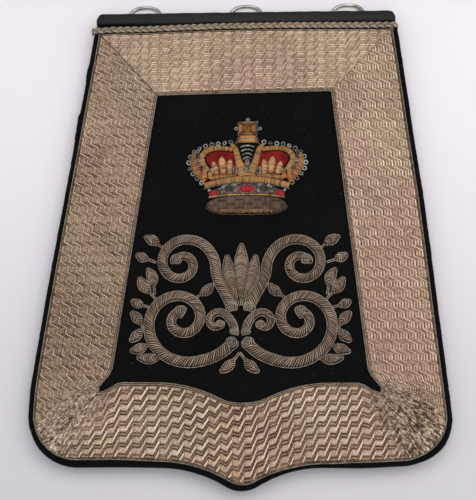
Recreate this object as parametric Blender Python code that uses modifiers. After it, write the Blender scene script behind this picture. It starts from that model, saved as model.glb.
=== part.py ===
"""Dress sabretache lying on its back, face up.

Metres. +X runs across the face, +Y up the face toward the hanging rings, +Z out of the face.
The pocket's back lies at Z = 0, and the origin is the middle of the whole length and width.
"""

import math

import bmesh
import bpy
from mathutils import Matrix

# Clearances and levels, from the surface upward
GAP = 0.0003
LEATHER = 0.0018
POCKET_DEPTH = 0.0090
PANEL_THICKNESS = 0.0036
LACE_THICKNESS = 0.0012
PANEL_BACK = POCKET_DEPTH + GAP
FACE = PANEL_BACK + PANEL_THICKNESS
TRIM = FACE + GAP

# Outline of the face
SIDE_TOP_Y = 0.1520
SIDE_TOP_HALF = 0.1136
SIDE_FOOT_Y = -0.1296
SIDE_FOOT_HALF = 0.1446
SIDE_BELLY = 0.00095
BOTTOM_Y = -0.1680
FLANK_X = 0.0550
FLANK_RADIUS = 0.0840
TIP_Y = -0.1838
TIP_X = 0.0031
TIP_SHIFT_FULL_X = 0.0600
TIP_SHIFT_END_X = 0.0800
TIP_SHIFT_TOP_Y = -0.1000
SHOULDER_Y = 0.1626
TONGUE_HALF = 0.1090
TONGUE_TOP_Y = 0.1692

# Lace border and the open field inside it
LACE_INSET = 0.0044
LACE_FOOT_LIFT = 0.0010
LACE_TOP_Y = 0.1573
FIELD_TOP_Y = 0.1066
FIELD_SIDE_HALF = 0.07624
FIELD_SIDE_SLOPE = -0.1175
FIELD_FOOT_Y = -0.1000
FIELD_BOTTOM_Y = -0.1098
FIELD_FLANK_X = 0.0600
FIELD_FLANK_RADIUS = 0.0950
FIELD_TIP_Y = -0.1240

# Braid and leather binding along the top
BRAID_LOW_Y = 0.1577
BRAID_HIGH_Y = 0.1627
BRAID_THICKNESS = 0.0030
BRAID_FOLD = 0.0019
BINDING_LOW_Y = 0.1630
BINDING_HIGH_Y = 0.1725
BINDING_HALF = 0.1115
BINDING_FRONT = 0.0158
BINDING_BACK = 0.0074
BINDING_CORNER = 0.0042

# Pocket behind the face
POCKET_MARGIN = 0.0125
POCKET_TOP_Y = 0.1595
POCKET_MOUTH_Y = 0.1480
POCKET_BOTTOM_Y = -0.1500
POCKET_CORNER = 0.0300

# Rings and their leather loops
RING_SPACING = 0.0766
RING_HALF = 0.0114
RING_LENGTH = 0.01824
RING_WIRE = 0.00115
RING_CORNER = 0.0038
RING_SHOULDER = 0.0094
RING_POWER = 2.4
RING_END_Z = 0.0012
RING_END_Y = 0.1838
LOOP_AXIS_Z = 0.00405
LOOP_WIDTH = 0.0120
LOOP_HOLE = 0.00155
LOOP_OUTER = 0.0030
LOOP_TAIL = 0.0240
LOOP_TAIL_LOW = -0.00195
LOOP_TAIL_HIGH = 0.00005

RING_DROP = math.asin((LOOP_AXIS_Z - RING_END_Z) / RING_LENGTH)
RING_BAR_Y = RING_END_Y - RING_WIRE - RING_LENGTH * math.cos(RING_DROP)

# Embroidered relief
CROWN_X = 0.0031
RELIEF_FLATNESS = 0.46

MILLIMETRE = 0.001


def start_scene(name):
    """Empty the scene and return the object's own collection."""
    for obj in list(bpy.data.objects):
        bpy.data.objects.remove(obj, do_unlink=True)
    collection = bpy.data.collections.new(name)
    bpy.context.scene.collection.children.link(collection)
    return collection


def material(name, color, roughness, metallic=0.0):
    """One Principled surface."""
    paint = bpy.data.materials.new(name)
    paint.use_nodes = True
    shader = paint.node_tree.nodes["Principled BSDF"]
    shader.inputs["Base Color"].default_value = (*color, 1.0)
    shader.inputs["Roughness"].default_value = roughness
    shader.inputs["Metallic"].default_value = metallic
    return paint


PARTS = start_scene("sabretache")
CUTTERS = bpy.data.collections.new("cutters")
bpy.context.scene.collection.children.link(CUTTERS)

BLACK_LEATHER = material("black_leather", (0.020, 0.020, 0.022), 0.45)
BLACK_VELVET = material("black_velvet", (0.010, 0.010, 0.012), 0.95)
SILVER_LACE = material("silver_lace", (0.42, 0.36, 0.29), 0.55, 0.6)
SILVER_CORD = material("silver_cord", (0.30, 0.24, 0.19), 0.55, 0.6)
NICKEL = material("nickel", (0.55, 0.53, 0.49), 0.30, 1.0)
GOLD_THREAD = material("gold_thread", (0.48, 0.30, 0.11), 0.50, 0.6)
PEARL = material("pearl", (0.45, 0.45, 0.43), 0.30, 0.3)
RED_VELVET = material("red_velvet", (0.30, 0.015, 0.025), 0.90)


def add_piece(name, data, paint):
    """Put data into the object's collection as one named piece."""
    data.materials.append(paint)
    piece = bpy.data.objects.new(name, data)
    PARTS.objects.link(piece)
    return piece


def loops_curve(name, loops, thickness):
    """A flat filled outline with further loops as holes, given a thickness about its plane."""
    curve = bpy.data.curves.new(name, "CURVE")
    curve.dimensions = "2D"
    curve.fill_mode = "BOTH"
    curve.extrude = thickness / 2
    for loop in loops:
        spline = curve.splines.new("POLY")
        spline.points.add(len(loop) - 1)
        for point, (x, y) in zip(spline.points, loop):
            point.co = (x, y, 0.0, 1.0)
        spline.use_cyclic_u = True
    return curve


def plate(name, loop, low, high, paint):
    """A flat piece cut to an outline, from level low to level high."""
    piece = add_piece(name, loops_curve(name, [loop], high - low), paint)
    piece.location.z = (low + high) / 2
    return piece


def as_mesh(piece):
    """Turn a curve piece into a welded mesh piece of the same name and place."""
    bpy.context.view_layer.update()
    graph = bpy.context.evaluated_depsgraph_get()
    mesh = bpy.data.meshes.new_from_object(piece.evaluated_get(graph))
    name = piece.name
    place = piece.matrix_world.copy()
    home = piece.users_collection[0]
    bpy.data.objects.remove(piece, do_unlink=True)
    shell = bmesh.new()
    shell.from_mesh(mesh)
    bmesh.ops.remove_doubles(shell, verts=shell.verts, dist=1e-6)
    bmesh.ops.recalc_face_normals(shell, faces=shell.faces)
    shell.to_mesh(mesh)
    shell.free()
    mesh.name = name
    result = bpy.data.objects.new(name, mesh)
    result.matrix_world = place
    home.objects.link(result)
    return result


def tube(name, path, radii, paint, closed=False, sides=6):
    """A round wire along a path, with a radius for each point."""
    curve = bpy.data.curves.new(name, "CURVE")
    curve.dimensions = "3D"
    curve.twist_mode = "Z_UP"
    curve.bevel_depth = max(radii)
    curve.bevel_resolution = sides // 2 - 2
    curve.use_fill_caps = not closed
    spline = curve.splines.new("POLY")
    spline.points.add(len(path) - 1)
    for point, place, radius in zip(spline.points, path, radii):
        point.co = (place[0], place[1], 0.0, 1.0)
        point.radius = radius / max(radii)
    spline.use_cyclic_u = closed
    return add_piece(name, curve, paint)


def relief(name, path, radii, paint):
    """A padded strand of embroidery: a tube pressed flat, its underside just clear of the velvet."""
    piece = as_mesh(tube(name, path, radii, paint))
    piece.data.transform(Matrix.Scale(RELIEF_FLATNESS, 4, (0, 0, 1)))
    lowest = min(vertex.co.z for vertex in piece.data.vertices)
    piece.location.z = TRIM - lowest
    return piece


def subtract(piece, name, loop, low, high):
    """Cut an outline out of a piece between two levels."""
    curve = loops_curve(name, [loop], high - low)
    cutter = bpy.data.objects.new(name, curve)
    CUTTERS.objects.link(cutter)
    cutter.location.z = (low + high) / 2
    cutter = as_mesh(cutter)
    cutter.display_type = "WIRE"
    cutter.hide_render = True
    cutter.hide_set(True)
    cut = piece.modifiers.new(name, "BOOLEAN")
    cut.operation = "DIFFERENCE"
    cut.solver = "EXACT"
    cut.object = cutter


def arc(center, radius, start, end, steps):
    """Points of an arc, both ends included, angles in degrees."""
    points = []
    for step in range(steps + 1):
        angle = math.radians(start + (end - start) * step / steps)
        points.append((center[0] + radius * math.cos(angle), center[1] + radius * math.sin(angle)))
    return points


def smooth(points, steps):
    """An open smooth path through a few points."""
    ends = [points[0]] + list(points) + [points[-1]]
    path = []
    for a, b, c, d in zip(ends, ends[1:], ends[2:], ends[3:]):
        for step in range(steps):
            t = step / steps
            path.append(tuple(
                0.5 * (2 * q + (r - p) * t + (2 * p - 5 * q + 4 * r - s) * t ** 2
                       + (3 * q - p - 3 * r + s) * t ** 3)
                for p, q, r, s in zip(a, b, c, d)))
    return path + [tuple(points[-1])]


def mirror(points):
    """The same points on the other side of the middle line."""
    return [(-x, y) for x, y in points]


def mirrored(half):
    """Close an outline whose right half runs from top to bottom."""
    return half + mirror(point for point in half[::-1] if point[0] > MILLIMETRE / 100)


def box_loop(left, bottom, right, top):
    """A rectangle as an outline."""
    return [(left, bottom), (right, bottom), (right, top), (left, top)]


def scaled(rows, shift=0.0, side=1):
    """Rows of millimetres as points in metres, moved along X, mirrored for side -1."""
    return [(shift + side * x * MILLIMETRE, y * MILLIMETRE) for x, y in rows]


def side_half(y):
    """Half the width of the face at height y: a straight taper with a slight belly."""
    t = (SIDE_TOP_Y - y) / (SIDE_TOP_Y - SIDE_FOOT_Y)
    return SIDE_TOP_HALF + (SIDE_FOOT_HALF - SIDE_TOP_HALF) * t + 4 * SIDE_BELLY * t * (1 - t)


def pointed_edge(flat_y, tip_y, flank_x, flank_radius, inset=0.0):
    """Right half of a bottom edge: hollow flank, then round tip, from the flat part to the middle.

    The two arcs touch, which sets the tip's radius. A positive inset moves the edge upward.
    """
    rise = tip_y - (flat_y - flank_radius)
    tip_radius = (flank_x ** 2 + rise ** 2 - flank_radius ** 2) / (2 * (flank_radius - rise))
    flank_center = (flank_x, flat_y - flank_radius)
    tip_center = (0.0, tip_y + tip_radius)
    meet = math.degrees(math.atan2(tip_center[1] - flank_center[1], -flank_x))
    flank = arc(flank_center, flank_radius + inset, 90, meet, 8)
    tip = arc(tip_center, tip_radius - inset, meet - 180, -90, 4)
    return flank + tip[1:]


def moved_tip(loop):
    """Move the pointed bottom edge of an outline a little to the right, as the crown above it."""
    moved = []
    for x, y in loop:
        share = (TIP_SHIFT_END_X - abs(x)) / (TIP_SHIFT_END_X - TIP_SHIFT_FULL_X)
        share = min(1.0, max(0.0, share)) if y < TIP_SHIFT_TOP_Y else 0.0
        moved.append((x + TIP_X * share, y))
    return moved


def lower_outline(inset, top_y, lift=0.0):
    """Right half of the face's outline from top_y round the corner to the tip, set in evenly.

    The lift raises the whole bottom edge, so that the border outside the lace is wider there.
    """
    bottom_y = BOTTOM_Y + lift
    slope = (SIDE_FOOT_HALF - SIDE_TOP_HALF - 4 * SIDE_BELLY) / (SIDE_TOP_Y - SIDE_FOOT_Y)
    lean = math.atan(slope)
    side = []
    for step in range(9):
        y = top_y + (SIDE_FOOT_Y - top_y) * step / 9
        side.append((side_half(y) - inset / math.cos(lean), y))
    radius = (SIDE_FOOT_Y - bottom_y) / (1 + math.sin(lean))
    corner = (SIDE_FOOT_HALF - radius * math.cos(lean), bottom_y + radius)
    turn = arc(corner, radius - inset, math.degrees(lean), -90, 9)
    return side + turn + pointed_edge(bottom_y, TIP_Y + lift, FLANK_X, FLANK_RADIUS, inset)


def build_pocket():
    """Flat leather document pocket: back, gusset and front wall, open at the top."""
    def outline(inset, top):
        half = [(side_half(top) - POCKET_MARGIN - inset, top)]
        foot = POCKET_BOTTOM_Y + POCKET_CORNER
        half.append((side_half(foot) - POCKET_MARGIN - inset, foot))
        center = (side_half(foot) - POCKET_MARGIN - POCKET_CORNER, foot)
        half += arc(center, POCKET_CORNER - inset, 0, -90, 8)[1:]
        return mirrored(half)

    pocket = as_mesh(plate("pocket", outline(0.0, POCKET_TOP_Y), 0.0, POCKET_DEPTH, BLACK_LEATHER))
    beyond = POCKET_TOP_Y + 0.01
    subtract(pocket, "pocket_cavity", outline(LEATHER, beyond), LEATHER, POCKET_DEPTH - LEATHER)
    mouth = box_loop(-SIDE_FOOT_HALF, POCKET_MOUTH_Y, SIDE_FOOT_HALF, beyond)
    subtract(pocket, "pocket_mouth", mouth, LEATHER, POCKET_DEPTH + 0.01)


def build_face_panel():
    """Velvet-covered board, with a narrower tongue at the top that the binding closes over."""
    half = [(TONGUE_HALF, TONGUE_TOP_Y), (TONGUE_HALF, SHOULDER_Y), (side_half(SHOULDER_Y), SHOULDER_Y)]
    half += lower_outline(0.0, SIDE_TOP_Y)
    plate("face_panel", moved_tip(mirrored(half)), PANEL_BACK, FACE, BLACK_VELVET)


def build_binding():
    """Padded leather roll that closes over the top edge of the face."""
    corner = (BINDING_HALF - BINDING_CORNER, BINDING_HIGH_Y - BINDING_CORNER)
    half = arc(corner, BINDING_CORNER, 90, 0, 5)
    half.append((BINDING_HALF, BINDING_LOW_Y))
    loop = mirrored(half)
    binding = as_mesh(plate("top_binding", loop, BINDING_BACK, BINDING_FRONT, BLACK_LEATHER))
    slot = box_loop(-TONGUE_HALF - GAP, BINDING_LOW_Y - GAP, TONGUE_HALF + GAP, TONGUE_TOP_Y + GAP)
    subtract(binding, "binding_slot", slot, PANEL_BACK - GAP, FACE + GAP)
    edge = binding.modifiers.new("soft_edge", "BEVEL")
    edge.width = 0.0011
    edge.segments = 2
    edge.limit_method = "ANGLE"
    edge.angle_limit = math.radians(50)


def build_braid():
    """Flat plait below the binding, its ends folded down over the sides of the face."""
    inner = side_half(BRAID_LOW_Y) + GAP
    reach = inner + BRAID_FOLD
    top = TRIM + BRAID_THICKNESS
    half = [
        (reach - BRAID_FOLD / 2, top),
        (reach, top - BRAID_FOLD / 2),
        (reach, PANEL_BACK),
        (inner, PANEL_BACK),
        (inner, TRIM),
    ]
    loop = mirrored(half)
    width = BRAID_HIGH_Y - BRAID_LOW_Y
    braid = add_piece("plaited_braid", loops_curve("plaited_braid", [loop], width), SILVER_CORD)
    braid.rotation_euler = (math.radians(90), 0.0, 0.0)
    braid.location.y = (BRAID_LOW_Y + BRAID_HIGH_Y) / 2


def field_half(y):
    """Half the width of the open field at height y."""
    return FIELD_SIDE_HALF + FIELD_SIDE_SLOPE * y


def build_lace():
    """Woven lace: a mitred strip across the top and one strip round the sides and the bottom."""
    corner_half = side_half(LACE_TOP_Y) - LACE_INSET
    high = TRIM + LACE_THICKNESS
    top = [
        (corner_half - GAP / 2, LACE_TOP_Y),
        (field_half(FIELD_TOP_Y) - GAP / 2, FIELD_TOP_Y),
    ]
    plate("lace_top", mirrored(top), TRIM, high, SILVER_LACE)

    # Inner edge from the mitre down, in millimetres: the strip turns at a short blunt notch
    notch = [
        # x, y
        (90.0, -104.5),
        (96.8, -113.2),
        (96.8, -116.8),
        (93.4, -115.8),
        (89.2, -113.6),
        (85.0, -110.8),
        (80.8, -109.8),
    ]
    inner = [
        (field_half(FIELD_TOP_Y) + GAP / 2, FIELD_TOP_Y),
        (field_half(FIELD_FOOT_Y), FIELD_FOOT_Y),
    ]
    inner += scaled(notch)
    inner += pointed_edge(FIELD_BOTTOM_Y, FIELD_TIP_Y, FIELD_FLANK_X, FIELD_FLANK_RADIUS)
    outer = [(corner_half + GAP / 2, LACE_TOP_Y)]
    outer += lower_outline(LACE_INSET, SIDE_TOP_Y, LACE_FOOT_LIFT)
    loop = outer + mirror(outer[-2::-1]) + mirror(inner) + inner[-2::-1]
    plate("lace_border", moved_tip(loop), TRIM, high, SILVER_LACE)


def ring_path():
    """D-shaped ring in its own plane: straight bar on the axis, round shoulders, flattened arch."""
    corner_center = (RING_HALF - RING_CORNER, RING_CORNER)
    half = arc(corner_center, RING_CORNER, -90, 0, 3)
    rise = RING_LENGTH - RING_SHOULDER
    for step in range(8):
        angle = math.radians(90 * step / 8)
        x = RING_HALF * math.cos(angle) ** (2 / RING_POWER)
        y = RING_SHOULDER + rise * math.sin(angle) ** (2 / RING_POWER)
        half.append((x, y))
    return half + [(0.0, RING_LENGTH)] + [(-x, y) for x, y in reversed(half)]


def build_rings():
    """Three rings resting on the surface, each on its bar inside a folded leather loop."""
    low_angle = math.degrees(math.asin(LOOP_TAIL_LOW / LOOP_OUTER))
    high_angle = math.degrees(math.asin(LOOP_TAIL_HIGH / LOOP_OUTER))
    outline = arc((0.0, 0.0), LOOP_OUTER, -180 - low_angle, 180 - high_angle, 16)
    outline += [(-LOOP_TAIL, LOOP_TAIL_HIGH), (-LOOP_TAIL, LOOP_TAIL_LOW)]
    hole = arc((0.0, 0.0), LOOP_HOLE, 345, 15, 11)
    path = ring_path()
    for place, name in ((-1, "left"), (0, "middle"), (1, "right")):
        ring = tube("ring_" + name, path, [RING_WIRE] * len(path), NICKEL, closed=True, sides=8)
        ring.location = (place * RING_SPACING, RING_BAR_Y, LOOP_AXIS_Z)
        ring.rotation_euler.x = -RING_DROP
        loop_name = "ring_loop_" + name
        profile = loops_curve(loop_name, [outline, hole], LOOP_WIDTH)
        loop = add_piece(loop_name, profile, BLACK_LEATHER)
        loop.location = ring.location
        loop.rotation_euler = (math.radians(90), 0.0, math.radians(90))


def bead_string(name, points, count, radius, paint):
    """A row of touching beads along a smooth path, as one strand with a waist between beads."""
    fine = smooth(points, 12)
    lengths = [0.0]
    for a, b in zip(fine, fine[1:]):
        lengths.append(lengths[-1] + math.dist(a, b))
    path = []
    radii = []
    swell = (0.55, 1.0, 1.0)
    steps = count * len(swell)
    for step in range(steps + 1):
        wanted = lengths[-1] * step / steps
        index = max(i for i, length in enumerate(lengths[:-1]) if length <= wanted + 1e-9)
        part = (wanted - lengths[index]) / (lengths[index + 1] - lengths[index])
        path.append(tuple(p + (q - p) * part for p, q in zip(fine[index], fine[index + 1])))
        radii.append(radius * swell[step % len(swell)])
    relief(name, path, radii, paint)


def build_crown():
    """Embroidered crown in relief. Outlines are millimetres from the crown's own middle line."""
    # Half outlines, top to bottom
    cross = [(6.6, 83.2), (7.0, 78.4), (6.3, 73.2)]
    orb = [(6.3, 72.8), (7.0, 70.0), (8.2, 67.2)]
    centre = [(11.0, 66.3), (11.4, 64.6), (8.2, 58.0), (6.9, 52.0), (7.8, 48.0), (8.2, 41.9)]
    ermine = [(13.0, 25.4), (25.0, 23.0), (28.0, 20.0), (28.2, 17.6), (25.6, 14.8), (20.0, 13.4)]
    for name, half, height, paint in (
        ("crown_cross", cross, 2.2, GOLD_THREAD),
        ("crown_orb", orb, 2.2, GOLD_THREAD),
        ("crown_centre", centre, 1.8, GOLD_THREAD),
        ("crown_ermine", ermine, 2.6, SILVER_CORD),
    ):
        loop = scaled(half, CROWN_X) + scaled(reversed(half), CROWN_X, -1)
        plate(name, loop, TRIM, TRIM + height * MILLIMETRE, paint)

    # Two bands that bow upward, each with its own bow for the upper and the lower edge
    bands = (
        # name, half_length, top_y, top_drop, foot_y, foot_drop, height, paint
        ("crown_band", 31.0, 41.4, 5.2, 36.4, 4.6, 1.9, GOLD_THREAD),
        ("crown_circlet", 27.2, 35.8, 5.6, 26.2, 1.9, 1.4, SILVER_CORD),
    )
    for name, length, top_y, top_drop, foot_y, foot_drop, height, paint in bands:
        across = [step / 6 - 1 for step in range(13)]
        loop = [(length * t, top_y - top_drop * t * t) for t in across]
        loop += [(length * t, foot_y - foot_drop * t * t) for t in reversed(across)]
        plate(name, scaled(loop, CROWN_X), TRIM, TRIM + height * MILLIMETRE, paint)

    # Right-hand side: the arch, the row of pearls and the outer strip are middle lines from the top down
    arch = [
        (14.0, 62.6), (16.6, 63.1), (23.2, 63.0), (29.8, 61.4),
        (33.0, 57.4), (32.6, 52.6), (30.0, 48.4), (27.8, 46.0),
    ]
    pearls = [
        (12.8, 68.1), (20.2, 67.3), (27.0, 66.8), (33.6, 64.4), (39.0, 60.6),
        (42.5, 54.5), (42.8, 49.6), (41.0, 44.6), (37.8, 39.8), (34.8, 36.4),
    ]
    side = [(39.4, 56.4), (39.2, 51.0), (36.6, 45.4), (32.6, 41.0)]
    cap = [
        (9.6, 59.2), (17.4, 60.6), (24.2, 60.4), (30.0, 57.6), (29.8, 53.6),
        (27.2, 49.8), (25.0, 45.8), (23.6, 42.2), (9.0, 42.2), (7.9, 50.0),
    ]
    leaves = [
        (10.4, 43.4), (10.2, 49.0), (12.2, 53.6), (14.8, 49.8), (15.6, 52.6), (18.6, 57.0),
        (20.6, 52.4), (20.8, 48.8), (24.2, 51.8), (25.0, 48.4), (23.4, 43.4),
    ]
    for name, way in (("left", -1), ("right", 1)):
        path = smooth(scaled(arch, CROWN_X, way), 2)
        relief("crown_arch_" + name, path, [1.7 * MILLIMETRE] * len(path), GOLD_THREAD)
        plate("crown_cap_" + name, scaled(cap, CROWN_X, way), TRIM, TRIM + 0.0013, RED_VELVET)
        low = TRIM + 0.0013 + GAP
        plate("crown_leaves_" + name, scaled(leaves, CROWN_X, way), low, low + 0.0010, GOLD_THREAD)
        path = smooth(scaled(side, CROWN_X, way), 2)
        relief("crown_side_" + name, path, [0.9 * MILLIMETRE] * len(path), GOLD_THREAD)
        bead_string("crown_pearls_" + name, scaled(pearls, CROWN_X, way), 13, 1.7 * MILLIMETRE, PEARL)


def scroll_path(row):
    """A stem that winds into a volute, round at both ends, as points with a width for each."""
    name, x, y, heading, cx, cy, outer, inner, start, sweep, wide, narrow, bulb = row
    turns = abs(sweep) / 360
    steps = round(20 * turns)
    volute = []
    for step in range(steps + 1):
        t = step / steps
        radius = outer * (inner / outer) ** t
        angle = math.radians(start + sweep * t)
        volute.append((cx + radius * math.cos(angle), cy + radius * math.sin(angle)))
    first, second = volute[:2]
    reach = math.dist((x, y), first)
    stride = math.dist(first, second)
    leave = (reach * math.cos(math.radians(heading)), reach * math.sin(math.radians(heading)))
    arrive = tuple(reach * (b - a) / stride for a, b in zip(first, second))
    path = []
    for t in (0.0, 0.03, 0.07, 0.12, 0.18, 0.24, 0.30, 0.42, 0.58, 0.80):
        path.append(tuple(
            (2 * t ** 3 - 3 * t ** 2 + 1) * p + (t ** 3 - 2 * t ** 2 + t) * u
            + (3 * t ** 2 - 2 * t ** 3) * q + (t ** 3 - t ** 2) * v
            for p, u, q, v in zip((x, y), leave, first, arrive)))
    path += volute
    lengths = [0.0]
    for a, b in zip(path, path[1:]):
        lengths.append(lengths[-1] + math.dist(a, b))
    widths = []
    for index, length in enumerate(lengths):
        width = wide + (narrow - wide) * index / (len(path) - 1)
        near = min(length, lengths[-1] - length)
        round_end = max(0.0, 1 - ((near - 0.4 * bulb) / (0.5 * bulb)) ** 2)
        widths.append(max(width if near > 0.4 * bulb else 0.4 * bulb, bulb * math.sqrt(round_end)))
    return path, widths


def leaf_path(x, y, heading, length, bend, width, fullest):
    """A leaf's middle line, curving by bend degrees a millimetre, and its width at each point."""
    steps = 7
    path = [(x, y)]
    angle = math.radians(heading)
    for _ in range(steps):
        angle += math.radians(bend) * length / steps
        x += math.cos(angle) * length / steps
        y += math.sin(angle) * length / steps
        path.append((x, y))
    widths = [width * (0.12 + 0.93 * math.sin(math.pi * (i / steps) ** fullest)) for i in range(steps + 1)]
    return path, widths


def build_scrolls():
    """Symmetric foliate scrollwork in relief, in millimetres. Rows give the right-hand side."""
    scrolls = (
        # name, x, y, heading, volute_x, volute_y, outer, inner, start, sweep, wide, narrow, bulb
        ("main", 4.0, -79.4, -62.0, 41.0, -65.0, 33.0, 5.0, -118.0, 590.0, 6.4, 4.2, 7.4),
        ("upper", 5.6, -58.6, 78.0, 42.0, -24.5, 24.5, 4.6, 190.0, -545.0, 5.8, 3.8, 6.6),
        ("inner", 4.2, -75.6, 100.0, 16.4, -66.6, 8.4, 2.6, 150.0, -330.0, 4.0, 3.0, 4.6),
    )
    leaves = (
        # name, x, y, heading, length, bend, width, fullest
        ("shoulder", 64.6, -44.8, 42.0, 13.0, 1.8, 6.4, 0.8),
        ("collar", 61.6, -39.6, 88.0, 13.0, -3.2, 5.8, 0.8),
        ("bract", 69.4, -54.5, 12.0, 8.0, 3.0, 4.8, 0.8),
        ("side", 70.2, -67.5, 62.0, 10.5, -2.0, 5.4, 0.8),
        ("hip", 69.6, -73.0, -58.0, 10.5, 2.0, 5.4, 0.8),
        ("haunch", 65.4, -84.0, -28.0, 11.5, 1.5, 5.6, 0.8),
        ("heel", 56.5, -92.6, -12.0, 15.0, 1.8, 5.6, 0.8),
        ("brow", 59.8, -9.6, 42.0, 11.0, -2.0, 5.8, 0.8),
        ("cheek", 67.0, -20.8, 14.0, 8.5, 3.0, 5.2, 0.8),
        ("fork", 27.6, -46.6, 152.0, 11.0, -3.0, 5.2, 0.8),
        ("root", 4.4, -94.2, -58.0, 12.0, 2.5, 5.4, 0.8),
        ("plume", 3.4, -48.2, 69.0, 31.0, 0.5, 7.0, 1.25),
    )
    for row in scrolls:
        path, widths = scroll_path(row)
        radii = [width * MILLIMETRE / 2 for width in widths]
        for name, way in (("left", -1), ("right", 1)):
            relief("scroll_" + row[0] + "_" + name, scaled(path, 0.0, way), radii, SILVER_CORD)
    for leaf, *shape in leaves:
        path, widths = leaf_path(*shape)
        radii = [width * MILLIMETRE / 2 for width in widths]
        for name, way in (("left", -1), ("right", 1)):
            relief("leaf_" + leaf + "_" + name, scaled(path, 0.0, way), radii, SILVER_CORD)
    path, widths = leaf_path(0.0, -47.5, 90.0, 38.0, 0.0, 8.2, 1.25)
    relief("leaf_crest", scaled(path), [width * MILLIMETRE / 2 for width in widths], SILVER_CORD)


build_pocket()
build_face_panel()
build_binding()
build_braid()
build_lace()
build_rings()
build_crown()
build_scrolls()
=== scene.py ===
import math

import bmesh
import bpy
from mathutils import Matrix, Vector, noise


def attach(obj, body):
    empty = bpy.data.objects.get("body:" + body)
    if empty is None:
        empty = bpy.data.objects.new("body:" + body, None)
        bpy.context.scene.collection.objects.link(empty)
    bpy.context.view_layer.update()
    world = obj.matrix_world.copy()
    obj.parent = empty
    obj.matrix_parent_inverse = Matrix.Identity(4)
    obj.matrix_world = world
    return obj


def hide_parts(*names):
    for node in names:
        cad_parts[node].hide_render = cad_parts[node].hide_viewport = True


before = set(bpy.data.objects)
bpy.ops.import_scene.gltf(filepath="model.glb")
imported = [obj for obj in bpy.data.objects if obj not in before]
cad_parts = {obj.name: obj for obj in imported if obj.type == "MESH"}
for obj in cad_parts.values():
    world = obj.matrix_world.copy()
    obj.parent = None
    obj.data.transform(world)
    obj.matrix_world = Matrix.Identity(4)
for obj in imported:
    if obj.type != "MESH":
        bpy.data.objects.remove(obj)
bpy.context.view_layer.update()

# Camera. It looks down on the face from 72 degrees, a little to one side and turned in its own
# plane, with a long lens, as the picture was taken. Its numbers come from fitting the outline.
CAMERA_TURN = math.radians(11.626)
CAMERA_CLIMB = math.radians(72.0)
CAMERA_ROLL = math.radians(-11.233)
CAMERA_DISTANCE = 1.0
CAMERA_TARGET = Vector((-0.002480, -0.013879, 0.0129))
CAMERA_LENS = 101.68

back = Vector((
    math.sin(CAMERA_TURN) * math.cos(CAMERA_CLIMB),
    -math.cos(CAMERA_TURN) * math.cos(CAMERA_CLIMB),
    math.sin(CAMERA_CLIMB)))
level = Vector((math.cos(CAMERA_TURN), math.sin(CAMERA_TURN), 0.0))
steep = back.cross(level)
right = math.cos(CAMERA_ROLL) * level + math.sin(CAMERA_ROLL) * steep
up = math.cos(CAMERA_ROLL) * steep - math.sin(CAMERA_ROLL) * level
camera = bpy.data.objects.new("camera", bpy.data.cameras.new("camera"))
camera.data.lens = CAMERA_LENS
camera.matrix_world = (
    Matrix.Translation(CAMERA_TARGET + back * CAMERA_DISTANCE)
    @ Matrix((right, up, back)).transposed().to_4x4())
bpy.context.scene.collection.objects.link(camera)
bpy.context.scene.camera = camera


# Studio. A pale matt table whose colour is painted a little darker toward the viewer, as painted
# shade for the light falling off away from the lamp beyond, a large soft lamp beyond the top of
# the bag, weaker ones on the other sides, and the plain light of a white room.
TABLE_FAR = (0.80, 0.78, 0.83)
TABLE_NEAR = (0.550, 0.540, 0.585)
TABLE_HALF = 4.0
ROOM_COLOR = (0.95, 0.96, 1.0)
ROOM_STRENGTH = 0.40


def put(tree, kind, inputs=(), **settings):
    """Add a node with its settings. Inputs are pairs of a socket and a number or another node's output."""
    made = tree.nodes.new(kind)
    for key, value in settings.items():
        setattr(made, key, value)
    for socket, value in inputs:
        if isinstance(value, bpy.types.NodeSocket):
            tree.links.new(value, made.inputs[socket])
        else:
            made.inputs[socket].default_value = value
    return made


def new_material(name, roughness, metallic=0.0, **own):
    """A material with its tree and shader. Further sockets of the shader are set by name."""
    made = bpy.data.materials.new(name)
    made.use_nodes = True
    shader = made.node_tree.nodes["Principled BSDF"]
    shader.inputs["Roughness"].default_value = roughness
    shader.inputs["Metallic"].default_value = metallic
    for key, value in own.items():
        shader.inputs[key.replace("_", " ")].default_value = value
    return made, made.node_tree, shader


def object_place(made):
    """The output that gives a point's own place on the object."""
    return put(made, "ShaderNodeTexCoord").outputs["Object"]


def cloudy(made, place, scale, detail, **more):
    """A noise pattern of 0 to 1. Further inputs of its node are set by name."""
    inputs = [("Vector", place), ("Scale", scale), ("Detail", detail), *more.items()]
    return put(made, "ShaderNodeTexNoise", inputs).outputs["Fac"]


def blended(made, factor, low, high, **settings):
    """Two colours mixed by a factor."""
    inputs = [("Factor", factor), (6, low), (7, high)]
    return put(made, "ShaderNodeMix", inputs, data_type="RGBA", **settings).outputs[2]


def add_lamp(name, place, size, power, color):
    """A square soft lamp that points at the bag and is not seen itself."""
    lamp = bpy.data.lights.new(name, "AREA")
    lamp.size = size
    lamp.energy = power
    lamp.color = color
    holder = bpy.data.objects.new(name, lamp)
    holder.location = place
    holder.rotation_euler = (-Vector(place)).to_track_quat("-Z", "Y").to_euler()
    holder.visible_camera = False
    bpy.context.scene.collection.objects.link(holder)


bpy.context.scene.view_settings.view_transform = "Standard"
room = bpy.data.worlds.new("room")
room.use_nodes = True
room.node_tree.nodes["Background"].inputs["Color"].default_value = (*ROOM_COLOR, 1.0)
room.node_tree.nodes["Background"].inputs["Strength"].default_value = ROOM_STRENGTH
bpy.context.scene.world = room
add_lamp("lamp_beyond", (0.26, 0.42, 1.50), 1.5, 12.5, (1.0, 0.97, 0.94))
add_lamp("lamp_near", (0.10, -0.90, 1.20), 1.3, 7.2, (1.0, 0.97, 0.94))
add_lamp("lamp_left", (-1.10, 0.10, 1.00), 1.0, 2.5, (1.0, 0.97, 0.94))
add_lamp("lamp_right", (1.10, 0.00, 1.00), 1.0, 5.0, (1.0, 0.97, 0.94))

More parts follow.
